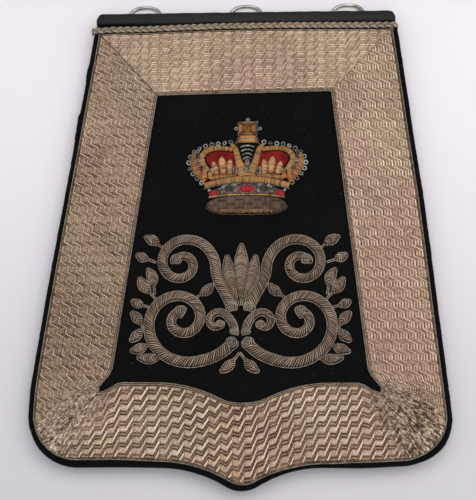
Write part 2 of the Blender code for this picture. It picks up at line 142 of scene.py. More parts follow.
table_paint, tree, shader = new_material("table_paint", 0.75)
place = object_place(tree)
depth = put(tree, "ShaderNodeMapRange", [
    ("Value", put(tree, "ShaderNodeSeparateXYZ", [(0, place)]).outputs["Y"]),
    ("From Min", -0.24), ("From Max", 0.16)], interpolation_type="SMOOTHSTEP")
# Painted shade: the table's colour darkens toward the viewer
shade = blended(tree, depth.outputs[0], (*TABLE_NEAR, 1.0), (*TABLE_FAR, 1.0))
faint = blended(tree, cloudy(tree, place, 9.0, 3.0), (0.97, 0.97, 0.97, 1.0), (1.0, 1.0, 1.0, 1.0))
mottled = blended(tree, 1.0, shade, faint, blend_type="MULTIPLY")
tree.links.new(mottled, shader.inputs["Base Color"])
table_mesh = bpy.data.meshes.new("table")
table_mesh.from_pydata(
    [(x * TABLE_HALF, y * TABLE_HALF, 0.0) for x, y in ((-1, -1), (1, -1), (1, 1), (-1, 1))],
    [], [(0, 1, 2, 3)])
table_mesh.materials.append(table_paint)
table = bpy.data.objects.new("table", table_mesh)
bpy.context.scene.collection.objects.link(table)


# Pocket. A flat pouch of black bridle leather behind the face: a back sheet, a gusset that folds
# inward and a front sheet cut lower for the mouth, sewn round its edge with waxed thread.
MM = 0.001
POCKET_TOP_Y = 0.1595
POCKET_MOUTH_Y = 0.1480
POCKET_FOOT_Y = -0.1200
POCKET_CORNER = 0.0300
POCKET_MARGIN = 0.0125
LEATHER = 0.0018
STITCH_SPACING = 0.0034
# Sides of the face, from where the straight taper starts at the top
SIDE_TOP_Y = 0.1520
SIDE_HEIGHT = 0.2816
SIDE_TOP_HALF = 0.1136
SIDE_SPREAD = 0.0310
SIDE_BELLY = 0.0038


def side_half(y):
    """Half the width of the face at height y: a straight taper with a slight belly."""
    t = (SIDE_TOP_Y - y) / SIDE_HEIGHT
    return SIDE_TOP_HALF + SIDE_SPREAD * t + SIDE_BELLY * t * (1 - t)


def arc(center, radius, start, end, steps):
    """Points of an arc, both ends included, angles in degrees."""
    angles = [math.radians(start + (end - start) * step / steps) for step in range(steps + 1)]
    return [(center[0] + radius * math.cos(a), center[1] + radius * math.sin(a)) for a in angles]


def mirrored(half):
    """Close an outline whose right half runs from top to bottom."""
    return half + [(-x, y) for x, y in half[::-1] if x > 1e-5]


def add_piece(name, verts, faces, paint, **marks):
    """A mesh piece with its faces turned outward. Marks are numbers kept for each vertex."""
    mesh = bpy.data.meshes.new(name)
    mesh.from_pydata(verts, [], faces)
    for mark, values in marks.items():
        mesh.attributes.new(mark, "FLOAT", "POINT").data.foreach_set("value", values)
    shell = bmesh.new()
    shell.from_mesh(mesh)
    bmesh.ops.recalc_face_normals(shell, faces=shell.faces)
    shell.to_mesh(mesh)
    shell.free()
    mesh.shade_smooth()
    mesh.materials.append(paint)
    piece = bpy.data.objects.new(name, mesh)
    bpy.context.scene.collection.objects.link(piece)
    return piece


def settle(piece, body, slot, *nodes):
    """Fix a piece to its body and hide the plain solids that it stands for. The slot is not used."""
    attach(piece, body)
    if nodes:
        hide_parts(*nodes)
    return piece


def soften(piece, width, degrees):
    """Round those edges of a piece that are sharper than an angle."""
    rounded = piece.modifiers.new("soften", "BEVEL")
    rounded.width = width
    rounded.segments = 2
    rounded.angle_limit = math.radians(degrees)


def ring_faces(i, j, count):
    """Faces between the closed rings of points number i and j."""
    faces = []
    for k in range(count):
        m = (k + 1) % count
        faces.append((i * count + k, i * count + m, j * count + m, j * count + k))
    return faces


def loft(rings):
    """Faces between closed rings of equally many points, with a flat face at each end."""
    count = len(rings[0])
    verts = [point for ring in rings for point in ring]
    faces = [tuple(range(count)), tuple(range((len(rings) - 1) * count, len(rings) * count))]
    for i in range(len(rings) - 1):
        faces += ring_faces(i, i + 1, count)
    return verts, faces


def sweep(path, section, upward, closed=False, scales=None):
    """Carry a section along a path. Gives vertices, faces and the length run at each vertex."""
    count, sides = len(path), len(section)
    verts, faces, runs, run = [], [], [], 0.0
    for i, spot in enumerate(path):
        before = path[i - 1] if closed or i else spot
        after = path[(i + 1) % count] if closed or i < count - 1 else spot
        along = (after - before).normalized()
        across = upward.cross(along).normalized()
        rise = along.cross(across)
        run += (spot - path[i - 1]).length if i else 0.0
        scale = scales[i] if scales else 1.0
        verts += [spot + across * (a * scale) + rise * (b * scale) for a, b in section]
        runs += [run] * sides
        if closed or i < count - 1:
            faces += ring_faces(i, (i + 1) % count, sides)
    if not closed:
        faces += [tuple(range(sides)), tuple(range((count - 1) * sides, count * sides))]
    return verts, faces, runs


def joined(shapes):
    """Several sets of vertices, faces and runs as one."""
    verts, faces, runs = [], [], []
    for more_verts, more_faces, more_runs in shapes:
        faces += [tuple(index + len(verts) for index in face) for face in more_faces]
        verts += more_verts
        runs += more_runs
    return verts, faces, runs


def oval(half_width, half_height, sides):
    """A section's points round an ellipse."""
    turns = [2 * math.pi * k / sides for k in range(sides)]
    return [(half_width * math.cos(a), half_height * math.sin(a)) for a in turns]


def new_tree(name, inputs):
    """A Geometry Nodes tree with named inputs."""
    made = bpy.data.node_groups.new(name, "GeometryNodeTree")
    made.interface.new_socket("Geometry", in_out="INPUT", socket_type="NodeSocketGeometry")
    for label, kind in inputs:
        made.interface.new_socket(label, in_out="INPUT", socket_type="NodeSocket" + kind)
    made.interface.new_socket("Geometry", in_out="OUTPUT", socket_type="NodeSocketGeometry")
    return made, made.nodes.new("NodeGroupInput").outputs, made.nodes.new("NodeGroupOutput")


def grow(piece, made, values):
    """Run a Geometry Nodes tree on a piece once and keep the outcome as its plain mesh."""
    modifier = piece.modifiers.new("grow", "NODES")
    modifier.node_group = made
    for item in made.interface.items_tree:
        if item.in_out == "INPUT" and item.name in values:
            modifier[item.identifier] = values[item.name]
    bpy.context.view_layer.update()
    graph = bpy.context.evaluated_depsgraph_get()
    seed_mesh = piece.data
    mesh = bpy.data.meshes.new_from_object(piece.evaluated_get(graph))
    piece.modifiers.clear()
    piece.data = mesh
    bpy.data.meshes.remove(seed_mesh)
    mesh.shade_smooth()
    return piece


def finish_tree(made, outcome, instances, given):
    """Give each copy its own tone, make the copies real and give them their material."""
    tone = put(made, "FunctionNodeRandomValue", [("Seed", given["Seed"])], data_type="FLOAT")
    toned = put(made, "GeometryNodeStoreNamedAttribute", [
        ("Geometry", instances), ("Name", "tone"), ("Value", tone.outputs[1]),
    ], domain="INSTANCE", data_type="FLOAT")
    real = put(made, "GeometryNodeRealizeInstances", [("Geometry", toned.outputs[0])])
    painted = put(made, "GeometryNodeSetMaterial", [
        ("Geometry", real.outputs[0]), ("Material", given["Material"])])
    made.links.new(painted.outputs[0], outcome.inputs[0])


row_tree, given, outcome = new_tree("laid_in_a_row", [
    ("Unit", "Object"), ("Spacing", "Float"), ("Wobble", "Float"), ("Seed", "Int"), ("Material", "Material")])
line = put(row_tree, "GeometryNodeMeshToCurve", [("Mesh", given["Geometry"])])
spots = put(row_tree, "GeometryNodeResampleCurve", [
    ("Curve", line.outputs[0]), ("Length", given["Spacing"])], mode="LENGTH")
along = put(row_tree, "GeometryNodeInputTangent")
upward = put(row_tree, "GeometryNodeInputNamedAttribute", [("Name", "upward")], data_type="FLOAT_VECTOR")
facing = put(row_tree, "FunctionNodeAxesToRotation", [
    ("Primary Axis", upward.outputs[0]), ("Secondary Axis", along.outputs[0]),
], primary_axis="Z", secondary_axis="X")
least = put(row_tree, "ShaderNodeMath", [(0, given["Wobble"]), (1, -1.0)], operation="MULTIPLY")
tilt = put(row_tree, "FunctionNodeRandomValue", [
    (0, least.outputs[0]), (1, given["Wobble"]), ("Seed", given["Seed"])], data_type="FLOAT_VECTOR")
turned = put(row_tree, "FunctionNodeEulerToRotation", [(0, tilt.outputs[0])])
loose = put(row_tree, "FunctionNodeRotateRotation", [
    (0, facing.outputs[0]), (1, turned.outputs[0])], rotation_space="LOCAL")
size = put(row_tree, "GeometryNodeInputNamedAttribute", [("Name", "size")], data_type="FLOAT_VECTOR")
unit_shape = put(row_tree, "GeometryNodeObjectInfo", [("Object", given["Unit"])])
copies = put(row_tree, "GeometryNodeInstanceOnPoints", [
    ("Points", spots.outputs[0]), ("Instance", unit_shape.outputs["Geometry"]),
    ("Rotation", loose.outputs[0]), ("Scale", size.outputs[0])])
finish_tree(row_tree, outcome, copies.outputs[0], given)


def hold(name, data):
    """An object that only lends its shape to a tree."""
    keeper = bpy.data.objects.new(name, data)
    bpy.context.scene.collection.objects.link(keeper)
    return keeper


def lay(name, rows, unit, spacing, paint, wobble=0.0, seed=1):
    """Lay copies of a unit along rows of (place, size), or (place, size, upward)."""
    verts, edges, sizes, ups = [], [], [], []
    for row in rows:
        edges += [(len(verts) + i, len(verts) + i + 1) for i in range(len(row) - 1)]
        for spot, stretch, *way in row:
            verts.append(spot)
            sizes += stretch
            ups += way[0] if way else (0.0, 0.0, 1.0)
    mesh = bpy.data.meshes.new(name)
    mesh.from_pydata(verts, edges, [])
    mesh.attributes.new("size", "FLOAT_VECTOR", "POINT").data.foreach_set("vector", sizes)
    mesh.attributes.new("upward", "FLOAT_VECTOR", "POINT").data.foreach_set("vector", ups)
    piece = hold(name, mesh)
    unit_verts, unit_faces, unit_runs, *unit_gap_shade = unit
    marks = {"run": unit_runs, "sunk": unit_gap_shade[0]} if unit_gap_shade else {"run": unit_runs}
    keeper = add_piece("unit", unit_verts, unit_faces, paint, **marks)
    grow(piece, row_tree, {
        "Unit": keeper, "Spacing": spacing, "Wobble": wobble, "Seed": seed, "Material": paint})
    bpy.data.objects.remove(keeper, do_unlink=True)
    return piece


def ramp(made, factor, stops):
    """A colour ramp over a factor. Stops are (position, colour)."""
    band = put(made, "ShaderNodeValToRGB", [("Fac", factor)])
    while len(band.color_ramp.elements) < len(stops):
        band.color_ramp.elements.new(0.5)
    for element, (position, color) in zip(band.color_ramp.elements, stops):
        element.position = position
        element.color = (*color, 1.0)
    return band.outputs["Color"]


def bump(made, shader, height, distance, strength=1.0):
    """Raise the surface by a height of 0 to 1 times a distance in metres."""
    raised = put(made, "ShaderNodeBump", [
        ("Height", height), ("Distance", distance), ("Strength", strength)])
    made.links.new(raised.outputs["Normal"], shader.inputs["Normal"])


def math_node(made, operation, *values):
    """The result of one arithmetic step."""
    return put(made, "ShaderNodeMath", list(enumerate(values)), operation=operation).outputs[0]


def stored(made, name):
    """A number that the mesh keeps under a name."""
    return put(made, "ShaderNodeAttribute", attribute_name=name).outputs["Fac"]


def color_by(made, shader, factor, stops):
    """Colour the surface by a ramp over a factor."""
    made.links.new(ramp(made, factor, stops), shader.inputs["Base Color"])


black_leather, tree, shader = new_material("black_leather", 0.50, Specular_IOR_Level=0.25)
place = object_place(tree)
pebbles = put(tree, "ShaderNodeTexVoronoi", [("Vector", place), ("Scale", 950.0)], feature="DISTANCE_TO_EDGE")
scuffs = cloudy(tree, place, 38.0, 8.0, Roughness=0.7)
color_by(tree, shader, scuffs, [
    (0.30, (0.004, 0.004, 0.005)), (0.60, (0.008, 0.008, 0.009)), (0.80, (0.035, 0.032, 0.032))])
gloss = put(tree, "ShaderNodeMapRange", [("Value", scuffs), ("To Min", 0.36), ("To Max", 0.68)])
tree.links.new(gloss.outputs[0], shader.inputs["Roughness"])
height = math_node(tree, "ADD", math_node(tree, "MINIMUM", pebbles.outputs["Distance"], 0.25),
                   math_node(tree, "MULTIPLY", cloudy(tree, place, 130.0, 5.0), 1.2))
bump(tree, shader, height, 0.00035, 0.55)

waxed_thread, tree, shader = new_material("waxed_thread", 0.55)
color_by(tree, shader, stored(tree, "tone"), [(0.0, (0.020, 0.017, 0.014)), (1.0, (0.060, 0.050, 0.040))])
twist = put(tree, "ShaderNodeTexWave", [
    ("Vector", object_place(tree)), ("Scale", 700.0), ("Distortion", 1.0)], bands_direction="DIAGONAL")
bump(tree, shader, twist.outputs["Fac"], 0.0002, 0.5)


def pocket_outline(inset, top):
    """The pocket's outline set in evenly, with points enough down the sides for soft leather."""
    sides = [top + (POCKET_FOOT_Y - top) * step / 12 for step in range(12)]
    half = [(side_half(y) - POCKET_MARGIN - inset, y) for y in sides]
    foot_half = side_half(POCKET_FOOT_Y) - POCKET_MARGIN
    half += arc((foot_half - POCKET_CORNER, POCKET_FOOT_Y), POCKET_CORNER - inset, 0, -90, 9)
    flat = half[-1]
    half += [(flat[0] * (1 - step / 8), flat[1]) for step in range(1, 9)]
    return mirrored(half)


# Inset, level of the middle of the sheet and height of the top, from the back round to the front
pocket_rings = [
    (22.0, 0.90, POCKET_TOP_Y),
    (7.0, 1.00, POCKET_TOP_Y),
    (3.6, 1.25, POCKET_TOP_Y),
    (1.6, 1.70, POCKET_TOP_Y),
    (0.9, 2.60, POCKET_TOP_Y),
    (1.5, 3.60, POCKET_TOP_Y),
    (3.6, 4.50, POCKET_TOP_Y),
    (1.5, 5.40, POCKET_TOP_Y - 0.001),
    (0.9, 6.40, POCKET_MOUTH_Y + 0.004),
    (1.6, 7.30, POCKET_MOUTH_Y),
    (3.6, 7.75, POCKET_MOUTH_Y),
    (7.0, 8.00, POCKET_MOUTH_Y),
    (22.0, 8.05, POCKET_MOUTH_Y),
]
rings = []
for inset, level_z, top in pocket_rings:
    ring = []
    for x, y in pocket_outline(inset * MM, top):
        sag = 0.25 * MM * noise.noise(Vector((x * 34, y * 34, level_z))) if 1.2 < level_z < 7.6 else 0.0
        ring.append(Vector((x + math.copysign(sag, x), y, level_z * MM)))
    rings.append(ring)
verts, faces = loft(rings)
# The span from one top corner to the other stays open: it is the mouth
count = len(rings[0])
mouth = {frozenset((i * count, (i + 1) * count, i * count + count - 1, (i + 1) * count + count - 1))
         for i in range(len(rings) - 1)}
faces = [face for face in faces if frozenset(face) not in mouth]
pocket = add_piece("pocket_leather", verts, faces, black_leather)
sheet = pocket.modifiers.new("sheet", "SOLIDIFY")
sheet.thickness = LEATHER
sheet.offset = 0.0
soften(pocket, 0.0004, 50)
settle(pocket, "body", "black_leather", "pocket")

STITCH_HALF = 0.0011
STITCH_RADIUS = 0.00032
FULL_SIZE = (1.0, 1.0, 1.0)
BACKWARD = (0.0, 0.0, -1.0)
stitch_path = [Vector((STITCH_HALF * t, 0.0, -0.00020 * t * t)) for t in (-1.0, -0.6, 0.0, 0.6, 1.0)]
stitch = sweep(stitch_path, oval(STITCH_RADIUS, STITCH_RADIUS, 6), Vector((0, 0, 1)),
               scales=[0.45, 0.9, 1.0, 0.9, 0.45])
seam = [(Vector((x, y, 0.00034)), FULL_SIZE, BACKWARD)
        for x, y in pocket_outline(3.4 * MM, POCKET_TOP_Y - 0.003)]
pocket_seam = lay("pocket_stitches", [seam], stitch, STITCH_SPACING, waxed_thread, 0.05)
settle(pocket_seam, "body", "black_leather")


# Face. A stiff board covered in black velvet, whose edge is turned over and shows as a narrow
# black border outside the lace. The pile is worn along that edge.
PANEL_BACK = 0.0093
TRIM = 0.0132
# The board ends in a tongue that the binding takes up
TONGUE_HALF = 0.1090
TONGUE_TOP_Y = 0.1692
SHOULDER_Y = 0.1626
SIDE_FOOT_Y = -0.1296
SIDE_FOOT_HALF = 0.1446
BOTTOM_Y = -0.1680
TIP_Y = -0.1838
TIP_X = 0.0031
FLANK_X = 0.0550
FLANK_RADIUS = 0.0840
NOTCH_TOP_Y = -0.1000
NOTCH_SIDE = [(0.0880, NOTCH_TOP_Y), (0.0900, -0.1045), (0.0968, -0.1132)]
# Above the notch the field is this wide at height 0, on each side, and narrows upward by this share
FIELD_HALF = 0.07624
FIELD_SPREAD = 0.1175
# Top of the lace, and how far down it the open field begins
LACE_TOP_Y = 0.1573
FIELD_TOP_Y = 0.1066
HEAD_DEPTH = 0.0507
# Height on the face in metres, and how far the side stands out there in millimetres
LEFT_BELLY = [
    (-0.145, 0.0), (-0.130, 0.9), (-0.115, 2.1), (-0.100, 2.1), (-0.040, 1.5), (0.050, 0.2), (0.080, 0.0)]
RIGHT_BELLY = [(-0.060, 0.0), (-0.010, 0.5), (0.030, 0.7), (0.070, 0.1)]
# Place across the face in metres, and how far the edge lies higher there in millimetres
FOOT_LIFTS = [
    (-0.110, -0.5), (-0.080, -0.1), (-0.030, -0.6), (-0.010, -0.5), (0.005, 0.3), (0.030, 0.5), (0.085, 0.3),
    (0.110, 1.8), (0.122, 2.1), (0.131, 1.3), (0.140, 0.0)]
HEAD_LIFTS = [(-0.060, -1.4), (-0.040, -0.7), (0.010, 0.0), (0.060, 0.9)]
# Frayed velvet on the left edge: height on the face in metres, and how far it stands out in millimetres
FRINGE = [(0.062, 0.0), (0.074, 0.7), (0.085, 1.0), (0.090, 1.3), (0.093, 0.0), (0.118, 0.0), (0.121, 0.7),
          (0.127, 0.6), (0.131, 0.0)]
FACE_EDGE = [
    # inset and level in millimetres, from the back of the board over its edge to the front
    (6.0, 9.30), (1.4, 9.34), (0.5, 9.60), (0.08, 10.2), (0.0, 11.0),
    (0.10, 11.8), (0.5, 12.45), (1.3, 12.82), (2.8, 12.9), (9.0, 12.9),
]


def pointed_edge(flat_y, tip_y, flank_x, flank_radius, inset=0.0, fine=1):
    """Right half of a bottom edge: hollow flank, then round tip, from the flat part to the middle."""
    rise = tip_y - (flat_y - flank_radius)
    tip_radius = (flank_x ** 2 + rise ** 2 - flank_radius ** 2) / (2 * (flank_radius - rise))
    flank_center = (flank_x, flat_y - flank_radius)
    tip_center = (0.0, tip_y + tip_radius)
    meet = math.degrees(math.atan2(tip_center[1] - flank_center[1], -flank_x))
    flank = arc(flank_center, flank_radius + inset, 90, meet, 8 * fine)
    return flank + arc(tip_center, tip_radius - inset, meet - 180, -90, 4 * fine)[1:]


# How far the side leans at its foot, where the belly takes back some of the spread
LEAN = math.atan(0.0272 / SIDE_HEIGHT)


def lower_corner(inset, lift, steps):
    """Middle and points of the round lower right corner, set in evenly, the bottom raised by a lift."""
    bottom_y = BOTTOM_Y + lift
    radius = (SIDE_FOOT_Y - bottom_y) / (1 + math.sin(LEAN))
    center = (SIDE_FOOT_HALF - radius * math.cos(LEAN), bottom_y + radius)
    return center, arc(center, radius - inset, math.degrees(LEAN), -90, steps)


def lower_outline(inset, top_y, fine=1, lift=0.0):
    """Right half of the face's outline from top_y round the corner to the tip, set in evenly."""
    side = []
    for step in range(9 * fine):
        y = top_y + (SIDE_FOOT_Y - top_y) * step / (9 * fine)
        side.append((side_half(y) - inset / math.cos(LEAN), y))
    _, turn = lower_corner(inset, lift, 9 * fine)
    start = turn[-1][0]
    flat = [(start + (FLANK_X - start) * step / 8, turn[-1][1]) for step in range(1, 8)]
    return side + turn + flat + pointed_edge(
        BOTTOM_Y + lift, TIP_Y + lift, FLANK_X, FLANK_RADIUS, inset, fine)


def field_half(y):
    """Half the width of the open field at height y, with the notch at each lower corner."""
    for (x1, y1), (x2, y2) in zip(NOTCH_SIDE, NOTCH_SIDE[1:]):
        if y2 <= y <= y1:
            return x1 + (x2 - x1) * (y1 - y) / (y1 - y2)
    return FIELD_HALF - FIELD_SPREAD * y if y > NOTCH_TOP_Y else NOTCH_SIDE[-1][0]


def between(value, points):
    """The height of a line through (place, height) points at a value, level beyond its ends."""
    for (p, a), (q, b) in zip(points, points[1:]):
        if p <= value <= q:
            return a + (b - a) * (value - p) / (q - p)
    return points[0][1] if value < points[0][0] else points[-1][1]


def as_worn(x, y):
    """Carry a point of the even outline to where the original has it.

    The tip stands to the right, the left side bellies outward, the right lower corner is rounder
    and the open field's head runs slightly uphill.
    """
    side = 1 if x > 0 else -1
    out = (abs(x) - field_half(y)) / (side_half(y) - field_half(y))
    out = min(1.0, max(0.0, out))
    if y < NOTCH_TOP_Y:
        x += TIP_X * min(1.0, max(0.0, (0.0800 - abs(x)) / 0.0200))
    belly = LEFT_BELLY if side < 0 else RIGHT_BELLY
    x += side * out * between(y, belly) * MM
    if y < NOTCH_TOP_Y:
        low = min(1.0, (NOTCH_TOP_Y - y) / 0.0400)
        y += low * between(x, FOOT_LIFTS) * MM
    elif y > 0.0900:
        high = min(1.0, (y - 0.0900) / 0.0166) * min(1.0, max(0.0, (LACE_TOP_Y - y) / HEAD_DEPTH))
        y += high * between(x, HEAD_LIFTS) * MM
    return x, y


black_velvet, tree, shader = new_material(
    "black_velvet", 0.95, Specular_IOR_Level=0.06, Sheen_Weight=0.13, Sheen_Roughness=0.42,
    Sheen_Tint=(0.62, 0.66, 0.80, 1.0))
place = object_place(tree)
nap = blended(tree, cloudy(tree, place, 26.0, 4.0), (0.0014, 0.0014, 0.0015, 1.0), (0.0044, 0.0044, 0.0046, 1.0))
specks = ramp(tree, cloudy(tree, place, 620.0, 1.0), [(0.74, (0, 0, 0)), (0.80, (1, 1, 1))])
dusty = blended(tree, specks, nap, (0.055, 0.055, 0.060, 1.0))
tree.links.new(dusty, shader.inputs["Base Color"])
bump(tree, shader, cloudy(tree, place, 1900.0, 2.0), 0.0004, 0.6)

rings = []
for inset, level_z in FACE_EDGE:
    half = [(TONGUE_HALF - 0.0001 - inset * MM, TONGUE_TOP_Y - inset * MM),
            (TONGUE_HALF - inset * MM, SHOULDER_Y - inset * MM),
            (side_half(SHOULDER_Y) - inset * MM, SHOULDER_Y - inset * MM)]
    half += lower_outline(inset * MM, SIDE_TOP_Y, 8)
    ring = []
    for x, y in mirrored(half):
        x, y = as_worn(x, y)
        worn = 0.0
        if abs(x) > 0.112 or y < -0.12:
            worn = 0.35 * MM * noise.noise(Vector((x * 160, y * 160, level_z * 0.2)))
            worn += 0.30 * MM * noise.noise(Vector((x * 460, y * 460, level_z * 0.5)))
        if x < 0:
            worn += between(y, FRINGE) * MM
        ring.append(Vector((x + math.copysign(worn, x), y, level_z * MM)))
    rings.append(ring)
verts, faces = loft(rings)
# The front is closed by strips from side to side, which stay flat where the outline is hollow
faces.pop(1)
count, first = len(rings[0]), (len(rings) - 1) * len(rings[0])
for k in range(count // 2):
    strip = (first + k, first + k + 1, first + count - 2 - k, first + count - 1 - k)
    faces.append(strip if len(set(strip)) == 4 else (strip[0], strip[1], strip[3]))
velvet = add_piece("velvet_face", verts, faces, black_velvet)
settle(velvet, "body", "black_velvet", "face_panel")


# Lace. A broad ribbon of silver thread woven in steps on a brown silk ground, sewn on in four
# strips that meet in mitres. It has tarnished to a warm beige and lies flatter at the top.
LACE_WIDTH = 0.0515
LACE_INSET = 0.0044
LACE_FOOT_LIFT = 0.0010
# Woven lengths, which the mitres cut back, and how far a side strip starts above the lace's top
FOOT_LENGTH = 0.2960
SIDE_LENGTH = 0.3300
HEAD_LENGTH = 0.2400
SIDE_START = 0.004
# A distance square to the leaning side is this much longer when taken level
LEAN_STRETCH = 1.0046
SELVEDGE_INNER = 0.0027
SELVEDGE_OUTER = 0.0015
FAN_MIDDLE = (0.0840, -0.1070)
# One row of the weave: share of the row, height, tone on the level run, tone on the slanting run.
# The tones are partly the brown ground and the pale thread, and partly painted highlights on the
# ridges and painted shade beside them.
BOLD_ROW = [
    (0.00, 0.00, 0.06, 0.08), (0.06, 0.10, 0.15, 0.14), (0.10, 0.62, 0.38, 0.38), (0.16, 0.78, 0.48, 0.50),
    (0.22, 0.62, 0.38, 0.36), (0.27, 0.12, 0.13, 0.12), (0.33, 0.04, 0.08, 0.08), (0.39, 0.45, 0.34, 0.32),
    (0.46, 0.80, 0.56, 0.58), (0.67, 0.92, 0.60, 0.80), (0.87, 0.82, 0.55, 0.44), (0.95, 0.50, 0.35, 0.19),
]
LEFT_ROW = [
    (0.00, 0.10, 0.30, 0.20), (0.06, 0.40, 0.46, 0.52), (0.11, 0.62, 0.60, 0.92), (0.17, 0.58, 0.52, 0.84),
    (0.23, 0.22, 0.30, 0.28), (0.30, 0.10, 0.28, 0.15), (0.38, 0.42, 0.50, 0.30), (0.50, 0.26, 0.31, 0.20),
    (0.62, 0.44, 0.52, 0.32), (0.72, 0.28, 0.34, 0.24), (0.82, 0.46, 0.50, 0.38), (0.93, 0.16, 0.28, 0.20),
]
RIGHT_ROW = [
    (0.00, 0.12, 0.22, 0.28), (0.06, 0.50, 0.60, 0.74), (0.13, 0.84, 0.76, 0.98), (0.20, 0.56, 0.62, 0.74),
    (0.27, 0.12, 0.26, 0.38), (0.35, 0.18, 0.32, 0.34), (0.43, 0.54, 0.66, 0.44), (0.50, 0.50, 0.62, 0.40),
    (0.58, 0.10, 0.26, 0.30), (0.66, 0.18, 0.34, 0.38), (0.74, 0.50, 0.64, 0.46), (0.82, 0.46, 0.58, 0.40),
    (0.91, 0.08, 0.22, 0.26),
]
FLAT_ROW = [
    (0.00, 0.24, 0.38, 0.32), (0.05, 0.50, 0.52, 0.32), (0.09, 0.70, 1.20, 0.34), (0.13, 0.36, 0.46, 0.35),
    (0.21, 0.16, 0.24, 0.38), (0.29, 0.40, 0.46, 0.42), (0.33, 0.64, 1.10, 0.48), (0.37, 0.36, 0.46, 0.54),
    (0.44, 0.28, 0.42, 0.52), (0.52, 0.32, 0.45, 0.48), (0.72, 0.32, 0.45, 0.43), (0.92, 0.26, 0.42, 0.35),
]
# The step that each row follows: share of the column, and how far it has climbed to the next row
STEP = [
    (0.00, 0.00), (0.14, -0.015), (0.28, -0.03), (0.42, -0.05), (0.50, -0.05), (0.54, 0.00),
    (0.65, 0.24), (0.77, 0.50), (0.88, 0.75), (0.97, 0.95), (1.00, 1.00),
]

grid_tree, given, outcome = new_tree("woven_grid", [
    ("Unit", "Object"), ("Columns", "Int"), ("Rows", "Int"), ("Column Step", "Float"), ("Row Step", "Float"),
    ("Seed", "Int"), ("Material", "Material")])
spans = []
for label, step_label in (("Columns", "Column Step"), ("Rows", "Row Step")):
    gaps = put(grid_tree, "ShaderNodeMath", [(0, given[label]), (1, -1.0)], operation="ADD")
    spans.append(put(grid_tree, "ShaderNodeMath", [
        (0, gaps.outputs[0]), (1, given[step_label])], operation="MULTIPLY").outputs[0])
lattice = put(grid_tree, "GeometryNodeMeshGrid", [
    ("Size X", spans[0]), ("Size Y", spans[1]), ("Vertices X", given["Columns"]), ("Vertices Y", given["Rows"])])
unit_shape = put(grid_tree, "GeometryNodeObjectInfo", [("Object", given["Unit"])])
copies = put(grid_tree, "GeometryNodeInstanceOnPoints", [
    ("Points", lattice.outputs[0]), ("Instance", unit_shape.outputs["Geometry"])])
finish_tree(grid_tree, outcome, copies.outputs[0], given)

silver_lace, tree, shader = new_material("silver_lace", 0.50, 0.35, Specular_IOR_Level=0.30)
place = object_place(tree)
matted = stored(tree, "matted")
stain = cloudy(tree, place, 22.0, 6.0, Roughness=0.62)
speckle = cloudy(tree, place, 760.0, 3.0)
# Where the weave is matted, its loose threads lie as streaks that fan out into the corner, and on
# the right side creases run between them, drawn only as painted shade in thin darker lines
split = put(tree, "ShaderNodeSeparateXYZ", [(0, place)])
fan_x = math_node(tree, "SUBTRACT", math_node(tree, "ABSOLUTE", split.outputs["X"]), FAN_MIDDLE[0])
fan_y = math_node(tree, "SUBTRACT", split.outputs["Y"], FAN_MIDDLE[1])
turn = math_node(tree, "ARCTAN2", fan_y, fan_x)
fan_square = math_node(tree, "MULTIPLY_ADD", fan_x, fan_x, math_node(tree, "MULTIPLY", fan_y, fan_y))
reach = math_node(tree, "SQRT", fan_square)
fans = []
for turn_scale, reach_scale, detail in ((50.0, 320.0, 4.0), (15.0, 60.0, 1.0)):
    fan_place = put(tree, "ShaderNodeCombineXYZ", [
        ("X", math_node(tree, "MULTIPLY", turn, turn_scale)),
        ("Y", math_node(tree, "MULTIPLY", reach, reach_scale))])
    fans.append(cloudy(tree, fan_place.outputs[0], 1.0, detail))
loose = math_node(tree, "MULTIPLY", math_node(tree, "SUBTRACT", fans[0], 0.5), matted)
crease = put(tree, "ShaderNodeMapRange", [
    ("Value", math_node(tree, "ABSOLUTE", math_node(tree, "SUBTRACT", fans[1], 0.5))),
    ("From Min", 0.012), ("From Max", 0.060), ("To Min", -1.0), ("To Max", 0.0)], interpolation_type="SMOOTHSTEP")
# Painted shade: the creases darken the colour along thin lines
folded = math_node(tree, "MULTIPLY", math_node(tree, "GREATER_THAN", split.outputs["X"], 0.0), matted)
folded = math_node(tree, "MULTIPLY", folded, crease.outputs[0])
WEFT_SPACING = 0.00118
WARP_SPACING = 0.00104
weft = math_node(tree, "SINE", math_node(tree, "MULTIPLY", stored(tree, "strip_run"), 2 * math.pi / WEFT_SPACING))
warp = math_node(tree, "SINE", math_node(tree, "MULTIPLY", stored(tree, "strip_rise"), 2 * math.pi / WARP_SPACING))
# Each copy of the weave has its own contrast, as its threads are more or less rubbed
worn_by = math_node(tree, "MULTIPLY_ADD", stored(tree, "tone"), 0.80, 0.60)
# The shine mark holds the row tones, with their painted highlights and painted shade
lifted = math_node(tree, "MULTIPLY_ADD", math_node(tree, "SUBTRACT", stored(tree, "shine"), 0.42), worn_by, 0.42)
for part, middle, share in (
    (stain, 0.5, 0.34), (speckle, 0.5, 0.75), (loose, 0.0, 2.2),
    (folded, 0.0, 0.42), (math_node(tree, "MULTIPLY", weft, warp), 0.0, 0.07),
):
    lifted = math_node(tree, "MULTIPLY_ADD", math_node(tree, "SUBTRACT", part, middle), share, lifted)
silver = ramp(tree, lifted, [
    (0.00, (0.040, 0.022, 0.013)), (0.22, (0.140, 0.085, 0.056)), (0.48, (0.352, 0.246, 0.176)),
    (0.72, (0.610, 0.468, 0.360)), (1.00, (0.950, 0.795, 0.660)),
])
hue = ramp(tree, cloudy(tree, place, 13.0, 3.0), [(0.35, (0.96, 1.0, 0.93)), (0.65, (1.0, 0.93, 0.92))])
tinted = blended(tree, 1.0, silver, hue, blend_type="MULTIPLY")
greyed = blended(tree, matted, tinted, (0.93, 0.99, 1.03, 1.0), blend_type="MULTIPLY")
tree.links.new(greyed, shader.inputs["Base Color"])
cloth = math_node(tree, "ADD", math_node(tree, "MULTIPLY", weft, 0.5), math_node(tree, "MULTIPLY", warp, 0.3))
bump(tree, shader, math_node(tree, "ADD", cloth, speckle), 0.00022, 0.6)


